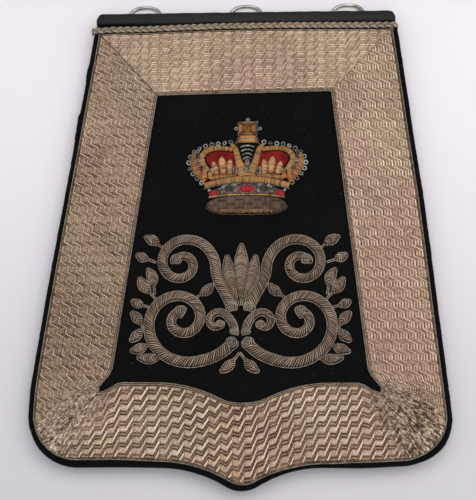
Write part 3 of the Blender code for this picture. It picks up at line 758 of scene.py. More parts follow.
def edge_y(points, x):
    """Height of an edge given as points from the side to the middle, at a distance x from the middle."""
    x = abs(x)
    for (x1, y1), (x2, y2) in zip(points, points[1:]):
        if x2 <= x <= x1:
            return y1 + (y2 - y1) * (x1 - x) / (x1 - x2) if x1 > x2 else y1
    return points[0][1]


NOTCH_FOOT = [(0.0968, -0.1168), (0.0934, -0.1158), (0.0892, -0.1136), (0.0850, -0.1108), (0.0808, -0.1098)]
FIELD_FOOT = NOTCH_FOOT + pointed_edge(-0.1098, -0.1240, 0.0600, 0.0950, 0.0, 4)
LACE_FOOT = pointed_edge(
    BOTTOM_Y + LACE_FOOT_LIFT, TIP_Y + LACE_FOOT_LIFT, FLANK_X, FLANK_RADIUS, LACE_INSET, 4)


def place_side(s, t, way):
    """A point on a side strip: s down from the top, t inward from the outer edge."""
    y = LACE_TOP_Y + SIDE_START - s
    outer = side_half(y) - LACE_INSET * LEAN_STRETCH
    return way * (outer + (field_half(y) - outer) * t / LACE_WIDTH), y


def place_foot(s, t):
    """A point on the bottom strip: s from the left, t upward from the lower edge."""
    x = s - FOOT_LENGTH / 2
    low = edge_y(LACE_FOOT, x)
    return x, low + (edge_y(FIELD_FOOT, x) - low) * t / LACE_WIDTH


def place_top(s, t):
    """A point on the top strip: s from the right, t downward from the upper edge."""
    return HEAD_LENGTH / 2 - s, LACE_TOP_Y - t * (LACE_TOP_Y - FIELD_TOP_Y) / LACE_WIDTH


def woven_cell(row, column_step, row_step, relief):
    """One cell of the weave, a column wide, its row climbing by one row from left to right."""
    rows = row + [(1.0,) + row[0][1:]]
    verts, faces, shines = [], [], []
    for share, climb in STEP:
        slant = min(1.0, max(0.0, (share - 0.48) / 0.08)) * min(1.0, max(0.0, (1.03 - share) / 0.08))
        for part, height, level_tone, slant_tone in rows:
            crown = 0.12 * slant if height > 0.7 else 0.0
            verts.append((share * column_step, (climb + part) * row_step, (height + crown) * relief))
            # Row tones: the thread's own colour together with painted highlights and painted shade
            shines.append(level_tone + (slant_tone - level_tone) * slant)
    count = len(rows)
    for i in range(len(STEP) - 1):
        for k in range(count - 1):
            faces.append((i * count + k, (i + 1) * count + k, (i + 1) * count + k + 1, i * count + k + 1))
    return verts, faces, shines


# How far the lace's lower edge hangs below the even line, in millimetres, by place across the face
LACE_DROPS = [
    (-0.080, 0.0), (-0.055, 0.9), (0.000, 0.9), (0.018, 1.8), (0.034, 2.7), (0.062, 2.6), (0.078, 1.5),
    (0.115, 1.6), (0.128, 0.8), (0.138, 0.0)]
# The same for its upper edge, which hangs at the left together with the braid above it
HEAD_DROPS = [
    (-0.107, 2.2), (-0.099, 1.5), (-0.075, 1.5), (-0.063, 1.0), (-0.041, 0.3), (-0.019, -0.3), (0.015, -0.5),
    (0.048, -0.4), (0.071, 0.0), (0.093, 0.2)]


def lace_worn(x, y):
    """Carry a point of the even lace to where the original has it."""
    low = min(1.0, max(0.0, (-0.1380 - y) / 0.0260))
    high = min(1.0, max(0.0, (y - FIELD_TOP_Y) / HEAD_DEPTH))
    x, y = as_worn(x, y)
    return x, y - (low * between(x, LACE_DROPS) + high * between(x, HEAD_DROPS)) * MM


# How far from the mitre the weave is matted, in millimetres: on each side strip and on the foot
MATTED_LEFT = 15.0
MATTED_RIGHT = 20.0
MATTED_FOOT = 15.0
# The sine and cosine of 45 degrees, which is the way the mitre runs
SLANT = 0.7071


def corner_wear(x, y):
    """How far the weave is matted near a lower corner, and its tone there in streaks that fan out."""
    side, down = abs(x) - NOTCH_FOOT[0][0], NOTCH_FOOT[0][1] - y
    along, across = (side + down) * SLANT / MM, (side - down) * SLANT / MM
    ragged = 5.0 * noise.noise(Vector((x * 120, y * 120, 1.0)))
    even = (MATTED_LEFT if x < 0 else MATTED_RIGHT) if across >= 0 else MATTED_FOOT
    reach = even + 0.34 * along + ragged
    share = min(0.85, max(0.0, 1.2 - 1.2 * abs(across) / max(reach, 0.1)))
    share *= min(1.0, max(0.0, (along + 6.0) / 5.0))
    turn = math.atan2(y - FAN_MIDDLE[1], abs(x) - FAN_MIDDLE[0])
    out = math.dist((abs(x), y), FAN_MIDDLE) / MM
    fleck = noise.noise(Vector((turn * 38.0, out * 0.28, 2.0)))
    return share, 0.37 + 0.36 * fleck + 0.22 * noise.noise(Vector((turn * 9.0, out * 0.06, 5.0)))


# How far the threads are from their even tone, by height on the sides and by place across on the foot
LEFT_TONES = [(-0.100, -0.045), (-0.020, -0.040), (0.080, 0.020), (0.105, 0.030)]
RIGHT_TONES = [(-0.100, -0.035), (-0.020, -0.005), (0.080, 0.060), (0.105, 0.020)]
FOOT_TONES = [(-0.050, 0.0), (-0.012, -0.075), (0.020, -0.075), (0.050, 0.0)]


def strip_tone(x, y):
    """How far the threads are from their even tone at a place on the lace."""
    if y < -0.1200 and abs(x) < NOTCH_FOOT[0][0]:
        return between(x, FOOT_TONES)
    return between(y, LEFT_TONES if x < 0 else RIGHT_TONES)


def cut_off(shell, spot, outward, within=None):
    """Cut a shell by an upright plane and drop what lies beyond it."""
    geom = shell.verts[:] + shell.edges[:] + shell.faces[:]
    if within:
        near = {vert for vert in shell.verts if within(vert.co)}
        geom = [vert for vert in shell.verts if vert in near]
        geom += [edge for edge in shell.edges if all(vert in near for vert in edge.verts)]
        geom += [face for face in shell.faces if all(vert in near for vert in face.verts)]
    bmesh.ops.bisect_plane(
        shell, geom=geom, dist=1e-6, plane_co=(*spot, 0.0), plane_no=(*outward, 0.0), clear_outer=True)


def extend(shell, rim):
    """Extrude the edges of a rim. Gives the new points and the new rim, both still in place."""
    grown = bmesh.ops.extrude_edge_only(shell, edges=rim)["geom"]
    points = [item for item in grown if isinstance(item, bmesh.types.BMVert)]
    fresh = set(points)
    edges = [item for item in grown if isinstance(item, bmesh.types.BMEdge)]
    return points, [edge for edge in edges if all(vert in fresh for vert in edge.verts)]


def lace_strip(name, length, row, column_step, rows_across, relief, base, placing, cuts, ripple):
    """Weave a strip flat, give it its selvedges, lay it in place, mitre it and close its underside."""
    row_step = (LACE_WIDTH - SELVEDGE_INNER - SELVEDGE_OUTER) / rows_across
    columns = math.ceil(length / column_step) + 1
    rows = math.ceil(rows_across) + 2
    verts, faces, shines = woven_cell(row, column_step, row_step, relief)
    keeper = add_piece("unit", verts, faces, silver_lace, shine=shines)
    piece = hold(name, bpy.data.meshes.new(name))
    grow(piece, grid_tree, {
        "Unit": keeper, "Columns": columns, "Rows": rows, "Column Step": column_step, "Row Step": row_step,
        "Seed": len(name), "Material": silver_lace})
    bpy.data.objects.remove(keeper, do_unlink=True)

    shell = bmesh.new()
    shell.from_mesh(piece.data)
    shift = Vector(((columns - 1) * column_step / 2, (rows - 3.1) * row_step / 2 + SELVEDGE_OUTER, 0.0))
    bmesh.ops.translate(shell, verts=shell.verts, vec=shift)
    bmesh.ops.remove_doubles(shell, verts=shell.verts, dist=2e-6)
    shine = shell.verts.layers.float["shine"]
    # Selvedges: beyond the woven rows the ribbon ends in a plain brown band on each side
    inner = LACE_WIDTH - SELVEDGE_INNER
    for limit, way, bands in (
        (SELVEDGE_OUTER, -1, ((0.0003, 0.15, 0.06), (0.0009, 0.45, 0.17), (SELVEDGE_OUTER, 0.30, 0.10))),
        (inner, 1, ((0.0002, 0.15, 0.08), (0.0010, 0.40, 0.17), (SELVEDGE_INNER, 0.35, 0.20))),
    ):
        cut_off(shell, (0.0, limit), (0.0, way))
        rim = [edge for edge in shell.edges if edge.is_boundary
               and all(abs(vert.co.y - limit) < 1e-6 for vert in edge.verts)]
        for out, height, tone in bands:
            points, rim = extend(shell, rim)
            for vert in points:
                vert.co.y = limit + way * out
                vert.co.z = height * relief
                vert[shine] = tone
    run = shell.verts.layers.float.new("strip_run")
    rise = shell.verts.layers.float.new("strip_rise")
    matted = shell.verts.layers.float.new("matted")
    for vert in shell.verts:
        s, t, z = vert.co
        vert[run], vert[rise] = s, t
        x, y = placing(s, t)
        if SELVEDGE_OUTER < t < inner:
            vert[shine] += strip_tone(x, y)
        if y < -0.085 and abs(x) > 0.075 and SELVEDGE_OUTER < t < inner:
            vert[matted], tone = corner_wear(x, y)
            vert[shine] += 0.85 * vert[matted] * (tone - vert[shine])
            z += 0.80 * vert[matted] * ((0.2 + 0.7 * tone) * relief - z)
        wave = ripple * noise.noise(Vector((x * 45, y * 45, 3.0)))
        wave += 0.3 * ripple * noise.noise(Vector((x * 160, y * 160, 7.0)))
        vert.co = (x, y, TRIM + base + z + wave)
    for spot, outward, within in cuts:
        cut_off(shell, spot, outward, within)
    for vert in shell.verts:
        vert.co.x, vert.co.y = lace_worn(vert.co.x, vert.co.y)
    points, lower_rim = extend(shell, [edge for edge in shell.edges if edge.is_boundary])
    for vert in points:
        vert.co.z = TRIM
    bmesh.ops.edgenet_fill(shell, edges=lower_rim)
    bmesh.ops.recalc_face_normals(shell, faces=shell.faces)
    shell.to_mesh(piece.data)
    shell.free()
    piece.data.shade_smooth()
    return piece


def line_cut(start, end, keep, within=None):
    """A cut along the line from start to end that keeps the side where the point keep lies."""
    dx, dy = end[0] - start[0], end[1] - start[1]
    outward = Vector((dy, -dx)).normalized()
    if outward.dot(Vector(keep) - Vector(start)) > 0:
        outward = -outward
    spot = Vector(start) - outward * 0.00012
    return tuple(spot), tuple(outward), within


upper_outer = (side_half(LACE_TOP_Y) - LACE_INSET, LACE_TOP_Y)
upper_inner = (field_half(FIELD_TOP_Y), FIELD_TOP_Y)
corner, corner_arc = lower_corner(LACE_INSET, LACE_FOOT_LIFT, 12)
lower_inner = NOTCH_FOOT[0]


def flip(point, way):
    """A point of the right-hand side, or the same on the left."""
    return way * point[0], point[1]


def lower_mitre(way, keep):
    """The cut of a lower mitre, slanting down and outward from the field's corner."""
    beyond = (lower_inner[0] + 0.05, lower_inner[1] - 0.05)
    return line_cut(flip(lower_inner, way), flip(beyond, way), keep)


def round_cuts(way, within):
    """The cuts that round a lower corner."""
    return [line_cut(flip(a, way), flip(b, way), flip(corner, way), within)
            for a, b in zip(corner_arc, corner_arc[1:])]


def side_cuts(way):
    """The cuts of one side strip: both mitres and the round of the lower corner."""
    middle = flip((0.11, 0.0), way)
    upper_mitre = line_cut(flip(upper_outer, way), flip(upper_inner, way), middle)
    return [upper_mitre, lower_mitre(way, middle), *round_cuts(way, lambda co: co.y < -0.11)]


foot_cuts = []
for way in (-1, 1):
    foot_cuts.append(lower_mitre(way, (0.0, -0.15)))
    foot_cuts += round_cuts(way, lambda co, way=way: way * co.x > 0.105)
top_cuts = [line_cut(flip(upper_outer, way), flip(upper_inner, way), (0.0, 0.13)) for way in (1, -1)]
lace_foot = lace_strip(
    "lace_foot", FOOT_LENGTH, BOLD_ROW, 0.0083, 6.6, 0.00075, 0.00040, place_foot, foot_cuts, 0.00025)
lace_left = lace_strip(
    "lace_left", SIDE_LENGTH, LEFT_ROW, 0.0075, 7.6, 0.00062, 0.00050,
    lambda s, t: place_side(s, t, -1), side_cuts(-1), 0.00030)
lace_right = lace_strip(
    "lace_right", SIDE_LENGTH, RIGHT_ROW, 0.0075, 7.6, 0.00072, 0.00045,
    lambda s, t: place_side(SIDE_LENGTH - s, t, 1), side_cuts(1), 0.00025)
lace_head = lace_strip(
    "lace_head", HEAD_LENGTH, FLAT_ROW, 0.0077, 8.2, 0.00032, 0.00060, place_top, top_cuts, 0.00015)
for strip in (lace_foot, lace_left, lace_right):
    settle(strip, "body", "silver_lace", "lace_border")
settle(lace_head, "body", "silver_lace", "lace_top")


# Edge cords. A fine bright wire and a pale twisted cord follow the inner edge of the lace, and a
# thin cord its outer edge. They are couched down over the cut edges of the ribbon.
CORD_RADIUS = 0.00042
WIRE_RADIUS = 0.00024
# The painted shade in the gaps between threads, as a share of a thread's darkest colour
GAP_SHADE_SHARE = 0.15


def bead(length, half_width, half_height, slant, rings=4, sides=6):
    """A slanting grain of a twisted cord, closed at both ends."""
    verts, faces, runs = [(-length, -slant, 0.0)], [], [0.0]
    for i in range(1, rings):
        turn = math.pi * i / rings
        x, r = -math.cos(turn), math.sin(turn)
        for k in range(sides):
            a = 2 * math.pi * k / sides
            verts.append((length * x, slant * x + half_width * r * math.cos(a), half_height * r * math.sin(a)))
            runs.append(length * (1 + x))
    verts.append((length, slant, 0.0))
    runs.append(2 * length)
    last = len(verts) - 1
    for k in range(sides):
        m = (k + 1) % sides
        faces.append((0, 1 + k, 1 + m))
        faces.append((last, last - sides + k, last - sides + m))
        for i in range(rings - 2):
            faces.append((1 + i * sides + k, 1 + i * sides + m, 1 + (i + 1) * sides + m, 1 + (i + 1) * sides + k))
    return verts, faces, runs


def flat_row(points, z):
    """Points on the face at one level, as a row for laying copies along."""
    return [(Vector((*lace_worn(x, y), z)), FULL_SIZE) for x, y in points]


def metal_thread(name, dark, light, roughness, metallic, coil):
    """Tarnished metal thread: its tone changes from copy to copy, its marked flanks take painted shade, and its
    fine coil is a bump.
    """
    made, tree, shader = new_material(name, roughness, metallic)
    tarnish = cloudy(tree, object_place(tree), 70.0, 6.0)
    mixed = math_node(tree, "ADD", math_node(tree, "MULTIPLY", stored(tree, "tone"), 0.45),
                      math_node(tree, "MULTIPLY", tarnish, 0.60))
    thread_color = ramp(tree, mixed, [(0.22, dark), (0.80, light)])
    # Painted shade: the marked flanks take a share of the darkest colour
    gap_shaded = blended(tree, stored(tree, "sunk"), thread_color, (*(GAP_SHADE_SHARE * part for part in dark), 1.0))
    tree.links.new(gap_shaded, shader.inputs["Base Color"])
    turns = math_node(tree, "SINE", math_node(tree, "MULTIPLY", stored(tree, "run"), 2 * math.pi / coil))
    bump(tree, shader, turns, 0.4 * coil, 0.5)
    return made


rim_thread = metal_thread("rim_thread", (0.13, 0.115, 0.090), (0.40, 0.355, 0.285), 0.42, 0.45, 0.0005)
bright_wire = metal_thread("bright_wire", (0.30, 0.22, 0.15), (0.66, 0.53, 0.40), 0.38, 0.45, 0.0005)
cord_grain = bead(0.00085, CORD_RADIUS * 0.8, CORD_RADIUS, CORD_RADIUS * 0.55)
wire_grain = bead(0.00110, WIRE_RADIUS, WIRE_RADIUS, 0.0)


def field_edge(inset):
    """The inner edge of the lace from the upper corner round the notch to the tip, moved outward."""
    heights = (FIELD_TOP_Y + 0.98 * inset, 0.05, 0.0, -0.05, NOTCH_TOP_Y, -0.1045, -0.1130)
    half = [(field_half(y) + inset, y) for y in heights]
    half.append((NOTCH_FOOT[0][0] + 0.7 * inset, NOTCH_FOOT[0][1] - 0.7 * inset))
    return half + [(x, y - inset) for x, y in FIELD_FOOT[1:]]


for name, unit, paint, inset, rise, gap in (
    ("field_cord", cord_grain, rim_thread, 0.0003, 0.00095, 0.00105),
    ("field_wire", wire_grain, bright_wire, 0.0016, 0.00095, 0.00190),
):
    loop = mirrored(field_edge(inset))
    loop.append(loop[0])
    cord = lay(name, [flat_row(loop, TRIM + rise)], unit, gap, paint, 0.10)
    settle(cord, "body", "silver_cord")
outer_half = [(side_half(LACE_TOP_Y) - LACE_INSET + 0.0004, LACE_TOP_Y)]
outer_half += lower_outline(LACE_INSET - 0.0004, SIDE_TOP_Y, 2, LACE_FOOT_LIFT)
outer_loop = mirrored(outer_half)
rim_cord = lay("rim_cord", [flat_row(outer_loop, TRIM + 0.0006)], cord_grain, 0.00105, rim_thread, 0.10)
settle(rim_cord, "body", "silver_cord")
# The left mitre shows as a dark join, the right one as the bright fold of the ribbon
seam_thread = metal_thread("seam_thread", (0.040, 0.032, 0.022), (0.110, 0.088, 0.062), 0.60, 0.10, 0.0005)
for way, side, paint in ((-1, "left", seam_thread), (1, "right", bright_wire)):
    join = [(way * (upper_outer[0] + (upper_inner[0] - upper_outer[0]) * k / 12),
             upper_outer[1] + (upper_inner[1] - upper_outer[1]) * k / 12) for k in range(13)]
    join_row = lay("mitre_join_" + side, [flat_row(join, TRIM + 0.0011)], wire_grain, 0.0019, paint, 0.06)
    settle(join_row, "body", "silver_cord")
head_line = [(x / 20 * outer_half[0][0], LACE_TOP_Y - 0.0005) for x in range(-20, 21)]
head_wire = lay("head_wire", [flat_row(head_line, TRIM + 0.0011)], wire_grain, 0.0019, bright_wire, 0.06)
settle(head_wire, "body", "silver_cord")


# Braid. Three strands of twisted silver thread plaited flat along the top of the lace, with both
# ends folded down over the sides of the board.
BRAID_Y = 0.1602
BRAID_SWAY = 0.00155
BRAID_LIFT = 0.00055
BRAID_PERIOD = 0.0165
STRAND_HALF_WIDTH = 0.00105
STRAND_HALF_HEIGHT = 0.00062
BRAID_LEVEL = TRIM + 0.0014
BRAID_RIGHT_SHARE = 0.984
BRAID_LOW_Y = 0.1577
FOLD_RADIUS = 0.0014
braid_reach = side_half(BRAID_LOW_Y) + 0.0013
spine = [(-braid_reach, PANEL_BACK + 0.0004), (-braid_reach, BRAID_LEVEL - FOLD_RADIUS)]
spine += [(-braid_reach + FOLD_RADIUS * (1 - math.cos(a)), BRAID_LEVEL - FOLD_RADIUS * (1 - math.sin(a)))
          for a in (math.pi * k / 12 for k in range(1, 6))]
spine += [(-braid_reach + FOLD_RADIUS + k * 0.002, BRAID_LEVEL) for k in range(0, 200)
          if -braid_reach + FOLD_RADIUS + k * 0.002 < -0.0001]
spine += [(0.0, BRAID_LEVEL)]
spine += [(-BRAID_RIGHT_SHARE * x, z) for x, z in spine[-2::-1]]


def along_line(points, distance, lengths):
    """The point at a distance along a line of 2-D points, and the line's direction there."""
    index = max(i for i, length in enumerate(lengths[:-1]) if length <= distance + 1e-9)
    a, b = Vector(points[index]), Vector(points[index + 1])
    way = b - a
    return a + way * ((distance - lengths[index]) / way.length), way.normalized()


def line_lengths(points):
    """How far along a line each of its points is."""
    lengths = [0.0]
    for a, b in zip(points, points[1:]):
        lengths.append(lengths[-1] + (Vector(b) - Vector(a)).length)
    return lengths


strands, painted_strand_light = [], []
lengths = line_lengths(spine)
steps = round(lengths[-1] / 0.0007)
for k in range(3):
    path = []
    section = [(a * (1 + 0.10 * (i % 2)), b * (1 + 0.10 * (i % 2)))
               for i, (a, b) in enumerate(oval(STRAND_HALF_HEIGHT, STRAND_HALF_WIDTH, 12))]
    for step in range(steps + 1):
        run = lengths[-1] * step / steps
        (x, z), way = along_line(spine, run, lengths)
        phase = 2 * math.pi * (run / BRAID_PERIOD + k / 3)
        folded = min(1.0, max(0.0, (BRAID_LEVEL - z) / 0.0020))
        lift = BRAID_LIFT * math.sin(2 * phase)
        sway = BRAID_SWAY * math.sin(phase) * (1 + 0.12 * noise.noise(Vector((x * 90, k, 0)))) * (1 - 0.5 * folded)
        spot = (x - way.y * lift, BRAID_Y + sway - between(x, HEAD_DROPS) * MM, z + way.x * lift)
        path.append(Vector(spot))
        # A strand is painted lighter where it lies on top, with painted shade at its sides, where it passes
        # under and in the folded ends
        painted_strand_light += [(0.5 * max(0.0, -a / STRAND_HALF_HEIGHT) + 0.25 + 0.25 * math.sin(2 * phase)) * (1 - 0.8 * folded)
                  for a, _ in section]
    strands.append(sweep(path, section, Vector((0, 1, 0))))
verts, faces, runs = joined(strands)
plait_thread, tree, shader = new_material("plait_thread", 0.45, 0.40)
place = object_place(tree)
split = put(tree, "ShaderNodeSeparateXYZ", [(0, place)])
wires = math_node(tree, "SINE", math_node(tree, "ADD",
                  math_node(tree, "MULTIPLY", stored(tree, "run"), 2 * math.pi / 0.0011),
                  math_node(tree, "MULTIPLY", split.outputs["Y"], 5200.0)))
soil = math_node(tree, "MULTIPLY", cloudy(tree, place, 160.0, 5.0), 0.5)
worn = math_node(tree, "MULTIPLY_ADD", wires, 0.18, soil)
# Painted light: the strand's stored highlight and shade are added to the wire and soil tones
worn = math_node(tree, "MULTIPLY_ADD", stored(tree, "bare"), 0.80, worn)
color_by(tree, shader, worn, [
    (0.26, (0.016, 0.010, 0.006)), (0.62, (0.115, 0.086, 0.060)), (1.00, (0.52, 0.425, 0.325))])
bump(tree, shader, wires, 0.00030, 0.9)
braid = add_piece("braid_strands", verts, faces, plait_thread, run=runs, bare=painted_strand_light)
settle(braid, "body", "silver_cord", "plaited_braid")


# Binding. A padded roll of black leather closes over the top edge of the board. It is softly
# creased, rounded at its corners and stitched through along the back.
BINDING_LOW_Y = 0.1630
BINDING_HIGH_Y = 0.1725
BINDING_HALF = 0.1115
BINDING_BACK = 0.0074
BINDING_FRONT = 0.0158
BINDING_CORNER = 0.0050
# The roll's section is between an oval, at 2, and an upright box
BINDING_SQUARE = 3.2
rings = []
for step in range(141):
    x = BINDING_HALF * (step / 70 - 1)
    end = max(0.0, abs(x) - (BINDING_HALF - BINDING_CORNER))
    drop = BINDING_CORNER - math.sqrt(max(0.0, BINDING_CORNER ** 2 - end ** 2)) * 0.86
    drop = drop - BINDING_CORNER * 0.14 if end else 0.0
    high = BINDING_HIGH_Y - drop
    tuck = 0.0012 * (end / BINDING_CORNER) ** 2
    hy, hz = (high - BINDING_LOW_Y) / 2, (BINDING_FRONT - BINDING_BACK) / 2 - tuck
    cy, cz = (high + BINDING_LOW_Y) / 2, (BINDING_FRONT + BINDING_BACK) / 2
    ring = []
    for k in range(28):
        a = 2 * math.pi * k / 28
        c, s = math.cos(a), math.sin(a)
        shape = (abs(c) ** BINDING_SQUARE + abs(s) ** BINDING_SQUARE) ** (-1 / BINDING_SQUARE)
        crease = 0.30 * MM * noise.noise(Vector((x * 120, c * 1.2, s * 1.2)))
        crease += 0.20 * MM * noise.noise(Vector((x * 38, c * 0.8 + 5, s * 0.8)))
        ring.append(Vector((x, cy + hy * c * shape + crease * c, cz + hz * s * shape + crease * s)))
    rings.append(ring)
verts, faces = loft(rings)
binding = add_piece("leather_binding", verts, faces, black_leather)
settle(binding, "body", "black_leather", "top_binding")
hem = [(Vector((x / 20 * 0.107, 0.1650, BINDING_BACK + 0.0001)), FULL_SIZE, BACKWARD) for x in range(-20, 21)]
binding_seam = lay("binding_stitches", [hem], stitch, STITCH_SPACING, waxed_thread, 0.05)
settle(binding_seam, "body", "black_leather")


# Ring loops. Three short straps of black leather, each folded round the bar of its ring and sewn
# between the board and the pocket.
RING_SPACING = 0.0766
RING_BAR_Y = 0.16463403
LOOP_AXIS_Z = 0.00405
RING_PLACES = ((-1, "left"), (0, "middle"), (1, "right"))
for index, name in RING_PLACES:
    node = "ring_loop_" + name
    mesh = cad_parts[node].data.copy()
    shell = bmesh.new()
    shell.from_mesh(mesh)
    bmesh.ops.remove_doubles(shell, verts=shell.verts, dist=1e-6)
    bmesh.ops.dissolve_limit(shell, angle_limit=0.02, verts=shell.verts, edges=shell.edges)
    shell.to_mesh(mesh)
    shell.free()
    mesh.materials.clear()
    mesh.materials.append(black_leather)
    mesh.shade_smooth()
    strap = bpy.data.objects.new("strap_" + name, mesh)
    bpy.context.scene.collection.objects.link(strap)
    soften(strap, 0.00035, 35)
    settle(strap, "body", "black_leather", node)
    rows = []
    for side in (-1, 1):
        x = index * RING_SPACING + side * 0.0044
        rows.append([(Vector((x, RING_BAR_Y - along_y, LOOP_AXIS_Z + 0.00018)), (0.7, 0.8, 0.8))
                     for along_y in (0.0055, 0.0235)])
    strap_seam = lay("strap_stitches_" + name, rows, stitch, 0.0026, waxed_thread, 0.05)
    settle(strap_seam, "body", "black_leather")


# Rings. Three D-shaped rings of nickelled wire, dulled and darker where the finish has gone.
RING_HALF = 0.0117
RING_LENGTH = 0.0191
RING_SHOULDER = 0.0096
RING_DROP = math.asin(0.00285 / RING_LENGTH)
nickel, tree, shader = new_material("nickel", 0.32, 1.0)
tarnish = cloudy(tree, object_place(tree), 190.0, 8.0, Roughness=0.65)
color_by(tree, shader, tarnish, [
    (0.34, (0.16, 0.145, 0.115)), (0.52, (0.47, 0.45, 0.40)), (0.70, (0.74, 0.73, 0.68))])
dull = put(tree, "ShaderNodeMapRange", [("Value", tarnish), ("To Min", 0.50), ("To Max", 0.20)])
tree.links.new(dull.outputs[0], shader.inputs["Roughness"])
bump(tree, shader, tarnish, 0.00012, 0.4)


def smooth(points, steps, closed=False):
    """A smooth path through a few points."""
    ends = [points[-1], *points, points[0], points[1]] if closed else [points[0], *points, points[-1]]
    path = []
    for a, b, c, d in zip(ends, ends[1:], ends[2:], ends[3:]):
        for step in range(steps):
            t = step / steps
            path.append(tuple(
                0.5 * (2 * q + (r - p) * t + (2 * p - 5 * q + 4 * r - s) * t ** 2
                       + (3 * q - p - 3 * r + s) * t ** 3)
                for p, q, r, s in zip(a, b, c, d)))
    return path if closed else path + [tuple(points[-1])]


RING_CORNER = 0.0038
RING_BOW = 2 / 2.4
ring_half = arc((RING_HALF - RING_CORNER, RING_CORNER), RING_CORNER, -90, 0, 3)
for step in range(8):
    angle = math.radians(90 * step / 8)
    ring_half.append((
        RING_HALF * math.cos(angle) ** RING_BOW,
        RING_SHOULDER + (RING_LENGTH - RING_SHOULDER) * math.sin(angle) ** RING_BOW))
ring_loop = smooth(ring_half + [(0.0, RING_LENGTH)] + [(-x, y) for x, y in reversed(ring_half)], 4, True)
for index, name in RING_PLACES:
    path = [Vector((index * RING_SPACING + x, RING_BAR_Y + y * math.cos(RING_DROP),
                    LOOP_AXIS_Z - y * math.sin(RING_DROP))) for x, y in ring_loop]
    verts, faces, runs = sweep(path, oval(0.00124, 0.00120, 16),
                               Vector((0.0, math.sin(RING_DROP), math.cos(RING_DROP))), True)
    ring = add_piece("wire_ring_" + name, verts, faces, nickel)
    settle(ring, "ring_" + name, "nickel", "ring_" + name)


# Scrollwork. Bullion embroidery over string padding: short coils of silver purl are laid over each
# stem side by side and slanting, and a pale cord is couched round it. Stems end in wound discs.
FOOT_Z = TRIM - 0.0001
SCROLLS = [
    # name, x, y, heading, volute_x, volute_y, outer, inner, start, sweep, wide, narrow, bulb
    ("main", 4.0, -79.4, -62.0, 41.0, -65.0, 33.0, 5.0, -118.0, 590.0, 6.4, 4.2, 7.4),
    ("upper", 5.6, -58.6, 78.0, 42.0, -24.5, 24.5, 4.6, 190.0, -545.0, 5.8, 3.8, 6.6),
    ("inner", 4.2, -75.6, 100.0, 16.4, -66.6, 8.4, 2.6, 150.0, -330.0, 4.0, 3.0, 4.6),
]
LEAVES = [
    # name, x, y, heading, length, bend, width, fullest
    ("shoulder", 64.6, -44.8, 42.0, 13.0, 1.8, 6.4, 0.8),
    ("collar", 61.6, -39.6, 88.0, 13.0, -3.2, 5.8, 0.8),
    ("bract", 69.4, -54.5, 12.0, 8.0, 3.0, 4.8, 0.8),
    ("side", 70.2, -67.5, 62.0, 10.5, -2.0, 5.4, 0.8),
    ("hip", 69.6, -73.0, -58.0, 10.5, 2.0, 5.4, 0.8),
    ("haunch", 65.4, -84.0, -28.0, 11.5, 1.5, 5.6, 0.8),
    ("heel", 56.5, -92.6, -12.0, 15.0, 1.8, 5.6, 0.8),
    ("brow", 59.8, -9.6, 42.0, 11.0, -2.0, 5.8, 0.8),
    ("cheek", 67.0, -20.8, 14.0, 8.5, 3.0, 5.2, 0.8),
    ("fork", 27.6, -46.6, 152.0, 11.0, -3.0, 5.2, 0.8),
    ("root", 4.4, -94.2, -58.0, 12.0, 2.5, 5.4, 0.8),
    ("plume", 3.4, -48.2, 69.0, 31.0, 0.5, 7.0, 1.25),
    ("crest", 0.0, -47.5, 90.0, 38.0, 0.0, 8.2, 1.25),
]
# Shares of the way from a stem's root to its volute, closer together at the round root
ROOT_SHARES = (
    0.0, 0.015, 0.03, 0.05, 0.07, 0.09, 0.12, 0.15, 0.18, 0.21, 0.24, 0.30, 0.37, 0.45, 0.55, 0.66, 0.77, 0.88)


def volute_path(x, y, heading, cx, cy, outer, inner, start, turning, wide, narrow, bulb):
    """A stem that winds into a volute, round at both ends: places in millimetres, lengths run, half widths."""
    steps = round(40 * abs(turning) / 360)
    volute = []
    for step in range(steps + 1):
        radius = outer * (inner / outer) ** (step / steps)
        a = math.radians(start + turning * step / steps)
        volute.append((cx + radius * math.cos(a), cy + radius * math.sin(a)))
    reach, stride = math.dist((x, y), volute[0]), math.dist(volute[0], volute[1])
    leave = (reach * math.cos(math.radians(heading)), reach * math.sin(math.radians(heading)))
    arrive = tuple(reach * (b - a) / stride for a, b in zip(volute[0], volute[1]))
    path = []
    for t in ROOT_SHARES:
        path.append(tuple(
            (2 * t ** 3 - 3 * t ** 2 + 1) * p + (t ** 3 - 2 * t ** 2 + t) * u
            + (3 * t ** 2 - 2 * t ** 3) * q + (t ** 3 - t ** 2) * v
            for p, u, q, v in zip((x, y), leave, volute[0], arrive)))
    path += volute
    lengths, halves = line_lengths(path), []
    for index, length in enumerate(lengths):
        width = wide + (narrow - wide) * index / (len(path) - 1)
        near = min(length, lengths[-1] - length)
        end = bulb * math.sqrt(max(0.0, 1 - ((near - 0.4 * bulb) / (0.5 * bulb)) ** 2))
        halves.append(max(width if near > 0.4 * bulb else 0.4 * bulb, end) / 2)
    return path, lengths, halves


def leaf_path(x, y, heading, length, bend, width, fullest):
    """A leaf's middle line, curving by bend degrees a millimetre, and its half width at each point."""
    path, angle, steps = [(x, y)], math.radians(heading), 14
    for _ in range(steps):
        angle += math.radians(bend) * length / steps
        x += math.cos(angle) * length / steps
        y += math.sin(angle) * length / steps
        path.append((x, y))
    return path, [width * (0.06 + 0.465 * math.sin(math.pi * (i / steps) ** fullest)) for i in range(steps + 1)]


